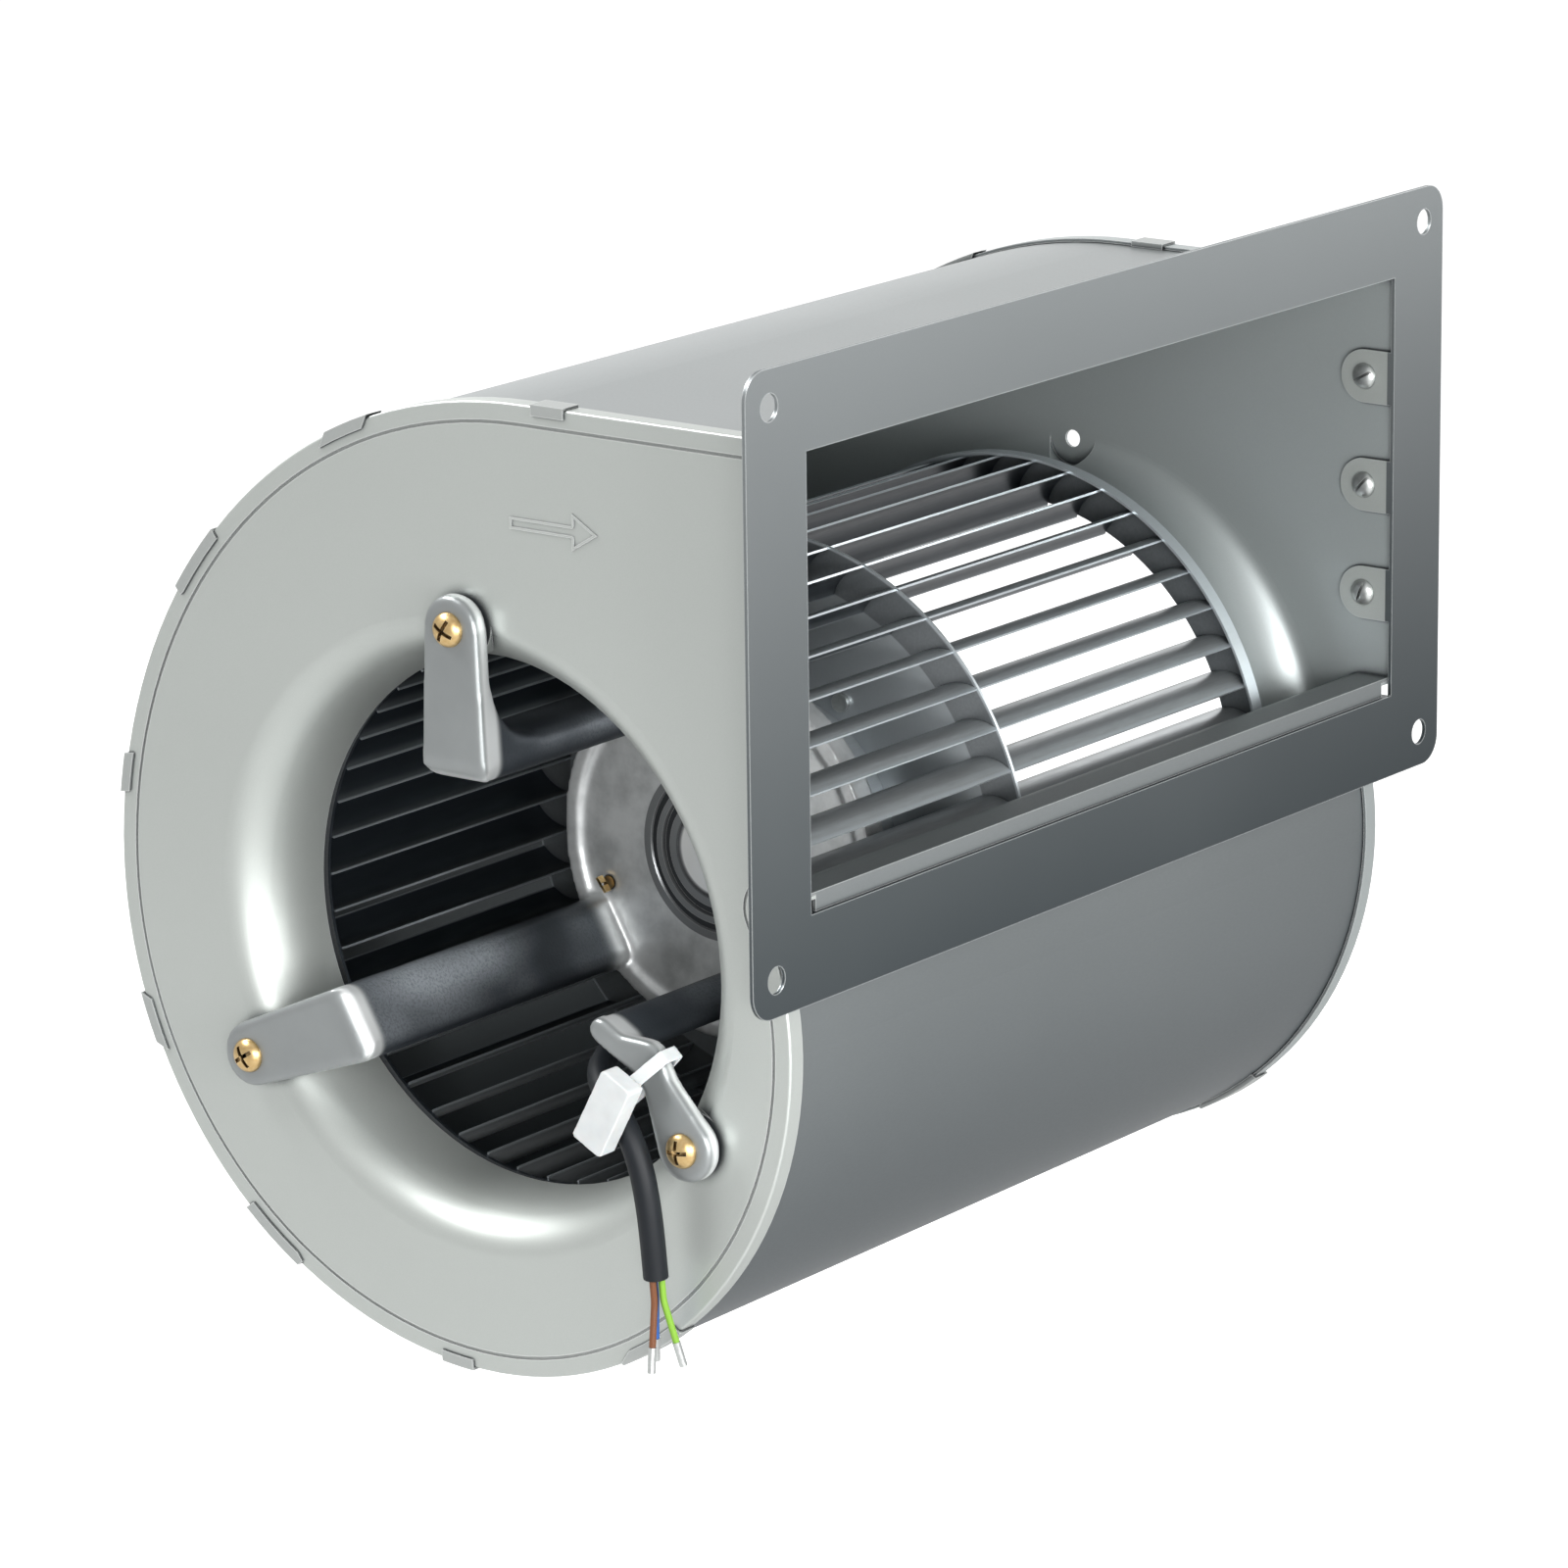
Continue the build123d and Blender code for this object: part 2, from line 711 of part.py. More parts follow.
with BuildPart() as stator_windings:
    middle_y = core_length / 2 - core_front
    for i in range(tooth_count):
        tooth = fan_turned(i * 360 / tooth_count).x_dir
        foot = fan.origin + Vector(0, middle_y, 0) + tooth * coil_start_r
        with BuildSketch(Plane(origin=foot, x_dir=(0, 1, 0), z_dir=tooth)):
            RectangleRounded(core_length + 2 * coil_overhang, tooth_width + 2 * coil_gap + 2 * coil_t, coil_t)
            Rectangle(core_length + 2 * coil_gap, tooth_width + 2 * coil_gap, mode=Mode.SUBTRACT)
        extrude(amount=coil_end_r - coil_start_r)
finish(stator_windings.part, "stator_windings")


def bearing_ring(inner, outer):
    """The same ring in both bearings."""
    with BuildPart() as rings:
        for start in bearing_starts:
            end = start + bearing_width
            revolve(turned((inner, start), (outer, start), (outer, end), (inner, end)), axis=fan_axis)
    return rings.part


with BuildPart() as bearing_outer_rings:
    add(bearing_ring(outer_ring_r, bearing_r - press_gap))
finish(bearing_outer_rings.part, "bearing_outer_rings")

with BuildPart() as bearing_inner_rings:
    add(bearing_ring(shaft_r + press_gap, inner_ring_r))
finish(bearing_inner_rings.part, "bearing_inner_rings")

with BuildPart() as bearing_balls:
    for start in bearing_starts:
        with Locations(fan.offset(-start - bearing_width / 2)):
            with PolarLocations(ball_circle_r, ball_count):
                Sphere(ball_r)
finish(bearing_balls.part, "bearing_balls")

with BuildPart() as preload_washer:
    washer_start = bearing_starts[1] - washer_t
    revolve(
        turned(
            (shoulder_r, washer_start), (bearing_r - thread_gap, washer_start),
            (bearing_r - thread_gap, bearing_starts[1]), (shoulder_r, bearing_starts[1]),
        ),
        axis=fan_axis,
    )
finish(preload_washer.part, "preload_washer")

# The rotor: a drawn can on the shaft, with the iron cage inside it
with BuildPart() as motor_shaft:
    groove_start = bearing_starts[0] - circlip_t - thread_gap
    revolve(
        turned(
            (0, -shaft_front), (shaft_r, -shaft_front), (shaft_r, groove_start),
            (shaft_r - circlip_depth, groove_start), (shaft_r - circlip_depth, bearing_starts[0]),
            (shaft_r, bearing_starts[0]), (shaft_r, can_end), (0, can_end),
        ),
        axis=fan_axis,
    )
finish(motor_shaft.part, "motor_shaft")

with BuildPart() as shaft_circlip:
    clip_start_y = bearing_starts[0] - circlip_t
    with BuildSketch(fan.offset(-clip_start_y)):
        Circle(circlip_r)
        Circle(shaft_r - circlip_depth + press_gap, mode=Mode.SUBTRACT)
        with Locations((circlip_r, 0)):
            Rectangle(circlip_r, circlip_mouth, mode=Mode.SUBTRACT)
    extrude(amount=-circlip_t)
finish(shaft_circlip.part, "shaft_circlip")

with BuildPart() as rotor_can:
    can_inner = can_r - can_wall
    boss_start = bearing_starts[1] + bearing_width
    revolve(
        turned(
            (can_inner, -can_front), (can_r, -can_front), (can_r, -disc_back), (collar_r, -disc_back),
            (collar_r, collar_t - disc_back), (can_r, collar_t - disc_back), (can_r, can_end - can_corner),
            (can_r - can_corner, can_end), (shaft_r + press_gap, can_end), (shaft_r + press_gap, boss_start),
            (can_boss_r, boss_start), (can_boss_r, can_end - can_floor), (can_inner, can_end - can_floor),
        ),
        axis=fan_axis,
    )
    with BuildSketch(fan.offset(-can_end)):
        with PolarLocations(can_vent_circle_r, can_vent_count):
            Circle(can_vent_r)
    extrude(amount=can_floor, mode=Mode.SUBTRACT)
    with BuildSketch(fan.offset(disc_back)):
        with PolarLocations(rivet_circle_r, rivet_count):
            Circle(rivet_r + thread_gap)
    extrude(amount=-collar_t, mode=Mode.SUBTRACT)
finish(rotor_can.part, "rotor_can")

with BuildPart() as rotor_cage:
    with BuildSketch(fan.offset(core_front)):
        Circle(can_inner - press_gap)
        Circle(core_r + air_gap, mode=Mode.SUBTRACT)
    extrude(amount=-core_length)
finish(rotor_cage.part, "rotor_cage")

# The impeller: a disc on the can's collar, blades either side of it, and a ring at each end
with BuildPart() as impeller_disc:
    with BuildSketch(fan.offset(disc_front)):
        Circle(impeller_r)
        Circle(can_r + disc_gap, mode=Mode.SUBTRACT)
        with PolarLocations(rivet_circle_r, rivet_count):
            Circle(rivet_r + thread_gap, mode=Mode.SUBTRACT)
    extrude(amount=-disc_t)
finish(impeller_disc.part, "impeller_disc")

with BuildPart() as blades_near:
    with BuildSketch(fan.offset(disc_front)):
        add(blade_ring())
    extrude(amount=blade_end - disc_front)
finish(blades_near.part, "blades_near")

with BuildPart() as blades_far:
    with BuildSketch(fan.offset(disc_back)):
        add(blade_ring())
    extrude(amount=-(blade_end + disc_back))
finish(blades_far.part, "blades_far")

with BuildPart() as end_ring_near:
    revolve(
        turned(
            (end_ring_inner_r, -blade_end), (ring_lip_r, -blade_end), (ring_lip_r, ring_lip - impeller_half),
            (ring_lip_r + ring_lip_t, ring_lip - impeller_half), (ring_lip_r + ring_lip_t, -impeller_half),
            (end_ring_inner_r, -impeller_half),
        ),
        axis=fan_axis,
    )
finish(end_ring_near.part, "end_ring_near")

with BuildPart() as end_ring_far:
    mirror(end_ring_near.part, about=Plane.XZ)
finish(end_ring_far.part, "end_ring_far")

with BuildPart() as disc_rivets:
    with BuildSketch(fan.offset(disc_front)):
        with PolarLocations(rivet_circle_r, rivet_count):
            Circle(rivet_head_r)
    extrude(amount=rivet_head_h)
    with BuildSketch(fan.offset(disc_front)):
        with PolarLocations(rivet_circle_r, rivet_count):
            Circle(rivet_r)
    extrude(amount=-(disc_t + collar_t))
    with BuildSketch(fan.offset(disc_back - collar_t)):
        with PolarLocations(rivet_circle_r, rivet_count):
            Circle(rivet_tail_r)
    extrude(amount=-rivet_tail_h)
finish(disc_rivets.part, "disc_rivets")

# The lead: out of the hub's gland, forward under the third arm's bar, out past it and down
with BuildPart() as cable_gland:
    with BuildSketch(fan.offset(hub_back)):
        with Locations(gland_spot):
            Circle(gland_r)
            Circle(lead_r + gland_gap, mode=Mode.SUBTRACT)
    extrude(amount=hub_t)
    with BuildSketch(fan.offset(hub_front)):
        with Locations(gland_spot):
            Circle(gland_flange_r)
            Circle(lead_r + gland_gap, mode=Mode.SUBTRACT)
    extrude(amount=gland_flange_t, taper=gland_taper)
finish(cable_gland.part, "cable_gland")

lead_points = [
    (-98.9, -36.0, -141.0), (-98.9, -76.0, -141.0), (-98.8, -118.0, -141.2), (-98.0, -156.0, -142.5),
    (-93.0, 4.5 - half_width, -146.5), (-84.0, -7.5 - half_width, -150.0),
    (-72.5, -14.0 - half_width, -154.5), (-64.5, -16.0 - half_width, -162.5),
    (-59.7, -16.0 - half_width, -173.5), (-57.4, -15.3 - half_width, -187.0),
    (-56.6, -14.2 - half_width, -201.0), (-56.4, -13.2 - half_width, -213.0),
]


def bend_radii(points):
    """Each bend as large as its two runs allow."""
    radii = []
    for before, corner, after in zip(points, points[1:], points[2:]):
        run_in = Vector(*corner) - Vector(*before)
        run_out = Vector(*after) - Vector(*corner)
        half_turn = radians(run_in.get_angle(run_out)) / 2
        radii.append(lead_arc_share * min(run_in.length, run_out.length) * cos(half_turn) / sin(half_turn))
    return radii


with BuildPart() as motor_lead:
    with BuildLine() as lead_route:
        FilletPolyline(*lead_points, radius=bend_radii(lead_points))
    with BuildSketch(Plane(origin=lead_points[0], z_dir=lead_route.line % 0)):
        Circle(lead_r)
    sweep(path=lead_route.line)
finish(motor_lead.part, "motor_lead")
print("bend radii", [round(r, 1) for r in bend_radii(lead_points)])
lead_run = sum(edge.length for edge in lead_route.line.edges())
lead_ratio = motor_lead.part.volume / (pi * lead_r ** 2 * lead_run)
print("lead length", round(lead_run, 1), "volume ratio", round(lead_ratio, 4))

# Three cores come out of the sheath's bare end, each with a ferrule
lead_end = Plane(origin=lead_route.line @ 1, x_dir=(1, 0, 0), z_dir=lead_route.line % 1)
core_names = ["lead_core_brown", "lead_core_blue", "lead_core_earth"]
core_paths = []
for i, name in enumerate(core_names):
    around = radians(90 + i * 360 / len(core_names))
    side = lead_end.x_dir * cos(around) + lead_end.y_dir * sin(around)
    foot = lead_end.origin + side * core_circle_r
    knee = foot + lead_end.z_dir * core_length_bare * core_knee
    tip = foot + lead_end.z_dir * core_length_bare + side * core_spread
    with BuildPart() as core:
        with BuildLine() as core_route:
            FilletPolyline(foot, knee, tip, radius=core_bend)
        with BuildSketch(Plane(origin=foot, z_dir=lead_end.z_dir)):
            Circle(core_d / 2)
        sweep(path=core_route.line)
    finish(core.part, name)
    core_paths.append(core_route.line)

with BuildPart() as core_ferrules:
    for path in core_paths:
        with BuildSketch(Plane(origin=path @ 1, z_dir=path % 1)):
            Circle(ferrule_r)
        extrude(amount=ferrule_length)
finish(core_ferrules.part, "core_ferrules")

# The clamp: a band round the lead and the third strap, with its block in front
with BuildPart() as cable_clamp:
    banded = arm.from_local_coords((lug_circle_r - band_in, band_side, half_width))
    held = Vector(*lead_points[clamp_point])
    across = Vector(banded.X - held.X, 0, banded.Z - held.Z)
    loop = Plane(origin=(held.X, 0, held.Z), x_dir=across, z_dir=across.cross(Vector(0, 1, 0)))
    with BuildSketch(loop.offset(-strap_width / 2)):
        with BuildSketch(mode=Mode.PRIVATE) as inside:
            with Locations((0, held.Y)):
                Circle(lead_r * clamp_slack)
            with Locations((across.length, neck_t / 2 - strap_front)):
                Rectangle(2 * band_reach, neck_t + 2 * strap_gap)
        with BuildSketch(mode=Mode.PRIVATE) as hull:
            make_hull(inside.edges())
        add(offset(hull.sketch, strap_t, mode=Mode.PRIVATE))
        add(hull.sketch, mode=Mode.SUBTRACT)
    extrude(amount=strap_width)
    with BuildSketch(fan.offset(strap_front + clamp_rise)):
        with Locations(Location((clamp_x, clamp_z, 0), (0, 0, clamp_lean))):
            RectangleRounded(clamp_length, clamp_width, clamp_corner)
    extrude(amount=clamp_thick)
finish(cable_clamp.part, "cable_clamp")
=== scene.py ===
import json
import math
import bpy
import bmesh
from mathutils import Matrix, Vector


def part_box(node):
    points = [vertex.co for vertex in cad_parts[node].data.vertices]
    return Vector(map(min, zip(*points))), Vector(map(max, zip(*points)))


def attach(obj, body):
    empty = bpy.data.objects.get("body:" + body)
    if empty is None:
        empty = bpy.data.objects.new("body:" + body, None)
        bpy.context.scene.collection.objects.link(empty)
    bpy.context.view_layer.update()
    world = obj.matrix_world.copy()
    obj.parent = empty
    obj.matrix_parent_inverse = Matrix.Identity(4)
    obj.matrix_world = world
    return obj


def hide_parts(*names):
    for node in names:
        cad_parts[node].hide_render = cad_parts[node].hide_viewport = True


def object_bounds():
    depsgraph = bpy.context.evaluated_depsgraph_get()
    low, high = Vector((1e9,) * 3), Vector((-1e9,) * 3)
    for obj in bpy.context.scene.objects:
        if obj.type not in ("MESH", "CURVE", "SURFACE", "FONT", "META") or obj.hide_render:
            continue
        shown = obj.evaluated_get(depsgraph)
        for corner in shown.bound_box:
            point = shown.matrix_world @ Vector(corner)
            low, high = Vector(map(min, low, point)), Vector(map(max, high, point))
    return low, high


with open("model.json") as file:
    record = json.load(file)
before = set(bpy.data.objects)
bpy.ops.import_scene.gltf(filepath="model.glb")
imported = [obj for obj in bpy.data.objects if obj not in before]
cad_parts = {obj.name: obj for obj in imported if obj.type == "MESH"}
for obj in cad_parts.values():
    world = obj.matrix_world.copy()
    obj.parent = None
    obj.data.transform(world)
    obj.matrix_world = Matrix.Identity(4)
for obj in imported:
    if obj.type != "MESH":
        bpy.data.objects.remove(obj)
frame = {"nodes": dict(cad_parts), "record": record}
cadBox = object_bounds()
mm = 0.001
print("frame loaded,", len(frame["nodes"]), "nodes")

# The fan's axis, read from the joint that carries the impeller
fanCentre = Vector(frame["record"]["behaviour"]["joints"][0]["pos_m"])

# The camera stands where the photograph was taken from
photoView = {
    "azimuth": 37.18,
    "elevation": 14.87,
    "roll": -0.74,
    "distance": 2.5954,
    "lens": 162.9,
    "sensor": 36.0,
    "clipEnd": 30.0,
    "aimFromAxis": (-0.00263, 0.0, 0.01547),
}


def placeCamera(view):
    azimuth = math.radians(view["azimuth"])
    elevation = math.radians(view["elevation"])
    roll = math.radians(view["roll"])
    back = Vector((
        math.sin(azimuth) * math.cos(elevation),
        -math.cos(azimuth) * math.cos(elevation),
        math.sin(elevation),
    ))
    level = Vector((math.cos(azimuth), math.sin(azimuth), 0))
    upright = back.cross(level)
    right = level * math.cos(roll) + upright * math.sin(roll)
    up = upright * math.cos(roll) - level * math.sin(roll)
    lens = bpy.data.cameras.new("photoCamera")
    lens.lens = view["lens"]
    lens.sensor_width = view["sensor"]
    lens.clip_end = view["clipEnd"]
    camera = bpy.data.objects.new("photoCamera", lens)
    bpy.context.scene.collection.objects.link(camera)
    spot = fanCentre + Vector(view["aimFromAxis"]) + back * view["distance"]
    camera.matrix_world = Matrix.Translation(spot) @ Matrix((right, up, back)).transposed().to_4x4()
    bpy.context.scene.camera = camera


placeCamera(photoView)
print("camera placed")


# One socket of a node tree, so that node maths reads as plain arithmetic
class Signal:
    def __init__(self, graph, socket):
        self.graph = graph
        self.socket = socket

    def __add__(self, other):
        return self.graph.maths("ADD", self, other)

    def __radd__(self, other):
        return self.graph.maths("ADD", other, self)

    def __sub__(self, other):
        return self.graph.maths("SUBTRACT", self, other)

    def __rsub__(self, other):
        return self.graph.maths("SUBTRACT", other, self)

    def __mul__(self, other):
        return self.graph.maths("MULTIPLY", self, other)

    def __rmul__(self, other):
        return self.graph.maths("MULTIPLY", other, self)

    def __truediv__(self, other):
        return self.graph.maths("DIVIDE", self, other)

    def held(self):
        return self.graph.node("ShaderNodeClamp", {}, {"Value": self})


# What shader trees and geometry trees share
class Graph:
    def feed(self, socket, value):
        if isinstance(value, list):
            for part in value:
                self.feed(socket, part)
        elif isinstance(value, Signal):
            self.tree.links.new(value.socket, socket)
        else:
            socket.default_value = value

    def node(self, kind, settings, inputs, output=0):
        made = self.tree.nodes.new(kind)
        for key, setting in settings.items():
            setattr(made, key, setting)
        for key, value in inputs.items():
            self.feed(made.inputs[key], value)
        return None if output is None else Signal(self, made.outputs[output])

    def maths(self, operation, *values):
        return self.node("ShaderNodeMath", {"operation": operation}, dict(enumerate(values)))

    def vectors(self, operation, output, *values):
        return self.node("ShaderNodeVectorMath", {"operation": operation}, dict(enumerate(values)), output)

    def combine(self, x=0.0, y=0.0, z=0.0):
        return self.node("ShaderNodeCombineXYZ", {}, {0: x, 1: y, 2: z})


class Finish(Graph):
    def __init__(self, name):
        self.material = bpy.data.materials.new(name)
        self.material.use_nodes = True
        self.tree = self.material.node_tree
        self.tree.nodes.clear()
        self.shader = self.tree.nodes.new("ShaderNodeBsdfPrincipled")
        output = self.tree.nodes.new("ShaderNodeOutputMaterial")
        self.tree.links.new(self.shader.outputs[0], output.inputs["Surface"])

    def set(self, **values):
        for key, value in values.items():
            self.feed(self.shader.inputs[key.replace("_", " ")], value)
        return self.material

    def place(self, scale=(1, 1, 1), centre=(0, 0, 0)):
        spot = self.node("ShaderNodeTexCoord", {}, {}, "Object")
        shift = tuple(-c * s for c, s in zip(centre, scale))
        return self.node("ShaderNodeMapping", {}, {"Vector": spot, "Location": shift, "Scale": scale})

    def along(self, axis, spot):
        return self.node("ShaderNodeSeparateXYZ", {}, {0: spot}, axis)

    def noise(self, spot, scale, detail, roughness=0.5):
        return self.node("ShaderNodeTexNoise", {}, {
            "Vector": spot, "Scale": scale, "Detail": detail, "Roughness": roughness,
        })

    def blend(self, factor, first, second):
        return self.node("ShaderNodeMix", {"data_type": "RGBA"}, {0: factor, 6: first, 7: second}, 2)

    def spread(self, signal, low, high):
        return self.node("ShaderNodeMapRange", {"interpolation_type": "SMOOTHSTEP"}, {
            "Value": signal, "From Min": low, "From Max": high, "To Min": 0.0, "To Max": 1.0,
        })

    def band(self, signal, low, high, soft):
        rise = self.spread(signal, low - soft, low + soft)
        return rise * (1 - self.spread(signal, high - soft, high + soft))

    # How sharply the surface turns within a small reach: 0 on flats, 1 on edges
    def edge(self, reach, gain):
        rounded = self.node("ShaderNodeBevel", {"samples": 6}, {"Radius": reach})
        flat = self.node("ShaderNodeNewGeometry", {}, {}, "Normal")
        return ((1 - self.vectors("DOT_PRODUCT", "Value", rounded, flat)) * gain).held()

    # 1 in open places, towards 0 in creases and corners
    def openness(self, reach, low, high):
        light = self.node("ShaderNodeAmbientOcclusion", {"samples": 8}, {"Distance": reach}, "AO")
        return self.spread(light, low, high)

    def bump(self, height, distance, strength):
        return self.node("ShaderNodeBump", {}, {"Height": height, "Distance": distance, "Strength": strength})

    # The way from the fan's axis to the surface: its length, or its direction
    def fromAxis(self, operation, output):
        return self.vectors(operation, output, self.place((1, 0, 1), (fanCentre.x, 0, fanCentre.z)))

    def radius(self):
        return self.fromAxis("LENGTH", "Value")

    # 1 where the surface faces the given way, 0 where it faces away from it
    def facing(self, way, low, high):
        normal = self.node("ShaderNodeTexCoord", {}, {}, "Normal")
        return self.spread(self.vectors("DOT_PRODUCT", "Value", normal, way), low, high)

    # A soft spot, 1 at its centre and 0 beyond its half sizes
    def spotAt(self, centre, halfSizes):
        spot = self.place(tuple(1 / size for size in halfSizes), centre)
        return 1 - self.spread(self.vectors("LENGTH", "Value", spot), 0.0, 1.0)


def tone(red, green, blue):
    return (red, green, blue, 1.0)


# Galvanised sheet: what all of it shares, then the tones of each piece. All the pieces are one galvanised
# sheet: the plates' pale base tones are painted light, and the far plate's, the wrap's and the flange's
# darker base tones are painted shade.
sheetLook = {
    "detail": 2.0,
    "cloudScale": 7.0,
    "cloudShare": 0.05,
    "cloudRough": 0.10,
    "grainScale": 2400.0,
    "grainShare": 0.10,
    "grainRough": 0.06,
    "grainDepth": 0.03 * mm,
    "grainStrength": 0.35,
    # Edges get a painted highlight and a smoother finish
    "edgeReach": 0.7 * mm,
    "edgeGain": 5.0,
    "edgeHighlightShare": 0.8,
    "edgeRough": 0.1,
    # The reaches of the painted shade in creases, grooves and corners
    "widePaintedShade": (7 * mm, 0.35, 0.85),
    "finePaintedShade": (1.5 * mm, 0.45, 0.9),
    "metallic": 0.68,
    "roughness": 0.36,
    "tabDepth": -0.003,
}
# Each sheet's dark tone colours its painted shade in creases and grooves; its grain darkens towards it too
sheets = {
    "plate": {
        "name": "plateSheet", "streak": (1, 1, 1),
        "base": tone(0.490, 0.518, 0.496), "paintedShade": tone(0.05, 0.055, 0.06), "shine": tone(0.85, 0.87, 0.86),
    },
    "farPlate": {
        "name": "farPlateSheet", "streak": (1, 1, 1),
        "base": tone(0.40, 0.435, 0.435), "paintedShade": tone(0.05, 0.055, 0.06), "shine": tone(0.85, 0.87, 0.86),
    },
    "wrap": {
        "name": "wrapSheet", "streak": (1, 0.2, 1),
        "base": tone(0.062, 0.076, 0.084), "paintedShade": tone(0.03, 0.035, 0.04), "shine": tone(0.72, 0.75, 0.74),
        "pale": {"foot": -0.24, "head": 0.0, "share": 0.34, "tabs": 0.0},
    },
    "flange": {
        "name": "flangeSheet", "streak": (1, 1, 1),
        "base": tone(0.040, 0.051, 0.057), "paintedShade": tone(0.02, 0.024, 0.03), "shine": tone(0.62, 0.65, 0.65),
        "pale": {"foot": -0.11, "head": 0.11, "share": 0.30, "tabs": 1.0},
    },
    "clip": {
        "name": "clipSheet", "streak": (1, 1, 1),
        "base": tone(0.42, 0.44, 0.43), "paintedShade": tone(0.03, 0.035, 0.04), "shine": tone(0.80, 0.82, 0.81),
    },
}


# Painted light: the flange and the wrap pale from foot to head, as if lit from above, and the flange's tabs
# take the plates' lit tone
def paintedLightTone(finish, sheet):
    pale = sheet["pale"]
    depth, height = [finish.along(axis, finish.place()) for axis in "XZ"]
    rise = ((height - pale["foot"]) / (pale["head"] - pale["foot"])).held()
    base = finish.blend(rise * pale["share"], sheet["base"], sheet["shine"])
    behind = finish.maths("LESS_THAN", depth, sheetLook["tabDepth"])
    return finish.blend(behind * pale["tabs"], base, sheets["plate"]["base"])


def sheetMetal(sheet):
    look = sheetLook
    finish = Finish(sheet["name"])
    clouds = finish.noise(finish.place(), look["cloudScale"], look["detail"])
    grain = finish.noise(finish.place(sheet["streak"]), look["grainScale"], look["detail"])
    edges = finish.edge(look["edgeReach"], look["edgeGain"])
    # Painted shade: the sheet darkens in creases, grooves and corners, where shade falls
    paintedShadeMask = finish.openness(*look["widePaintedShade"]) * finish.openness(*look["finePaintedShade"])
    # The flange's and the wrap's base tone carries painted light from foot to head
    base = paintedLightTone(finish, sheet) if "pale" in sheet else sheet["base"]
    colour = finish.blend(clouds * look["cloudShare"], base, sheet["shine"])
    colour = finish.blend(grain * look["grainShare"], colour, sheet["paintedShade"])
    colour = finish.blend(paintedShadeMask, sheet["paintedShade"], colour)
    # Painted highlight: edges and rims are lightened towards the bright tone
    colour = finish.blend(edges * look["edgeHighlightShare"], colour, sheet["shine"])
    rough = look["roughness"] + clouds * look["cloudRough"] + grain * look["grainRough"]
    return finish.set(
        Base_Color=colour,
        Metallic=look["metallic"],
        Roughness=rough - edges * look["edgeRough"],
        Normal=finish.bump(grain, look["grainDepth"], look["grainStrength"]),
    )


bladeLook = {
    "base": tone(0.54, 0.57, 0.58),
    "shade": tone(0.006, 0.012, 0.020),
    "shine": tone(0.62, 0.67, 0.70),
    # Where the painted highlights along the blades' edges run
    "outer": 0.1125,
    "outerLine": (-1.3 * mm, -0.5 * mm),
    "inner": 0.096,
    "innerLine": (0.2 * mm, 0.9 * mm),
    "innerShare": 0.6,
    "lineHighlightShare": 0.75,
    "detail": 2.0,
    "streak": (1, 0.12, 1),
    "grainScale": 900.0,
    "grainShare": 0.25,
    "grainRough": 0.12,
    "grainDepth": 0.02 * mm,
    "grainStrength": 0.3,
    "cloudScale": 24.0,
    "cloudShare": 0.35,
    # Painted shade on the faces that turn towards the axis, and in recesses
    "outward": (-0.25, 0.35),
    "outwardShare": 0.95,
    "inwardShare": 0.05,
    "paintedShade": (9 * mm, 0.05, 0.7),
    "metallic": 0.7,
    "roughness": 0.27,
}


# The blades carry painted shade on their inward sides and in their recesses, and a painted highlight along
# both long edges
def bladeSteel(name, look):
    finish = Finish(name)
    reach = finish.radius()
    outerEdge = finish.spread(reach, *[look["outer"] + line for line in look["outerLine"]])
    innerEdge = 1 - finish.spread(reach, *[look["inner"] + line for line in look["innerLine"]])
    paintedEdgeHighlights = (outerEdge + innerEdge * look["innerShare"]).held()
    grain = finish.noise(finish.place(look["streak"]), look["grainScale"], look["detail"])
    clouds = finish.noise(finish.place(), look["cloudScale"], look["detail"])
    colour = finish.blend(clouds * look["cloudShare"], look["base"], look["shine"])
    colour = finish.blend(grain * look["grainShare"], colour, look["shade"])
    # Painted shade on inward faces and in recesses, then the painted edge highlights
    outward = finish.facing(finish.fromAxis("NORMALIZE", "Vector"), *look["outward"])
    colour = finish.blend(outward * look["outwardShare"] + look["inwardShare"], look["shade"], colour)
    colour = finish.blend(finish.openness(*look["paintedShade"]), look["shade"], colour)
    colour = finish.blend(paintedEdgeHighlights * look["lineHighlightShare"], colour, look["shine"])
    return finish.set(
        Base_Color=colour,
        Metallic=look["metallic"],
        Roughness=look["roughness"] + grain * look["grainRough"],
        Normal=finish.bump(grain, look["grainDepth"], look["grainStrength"]),
    )


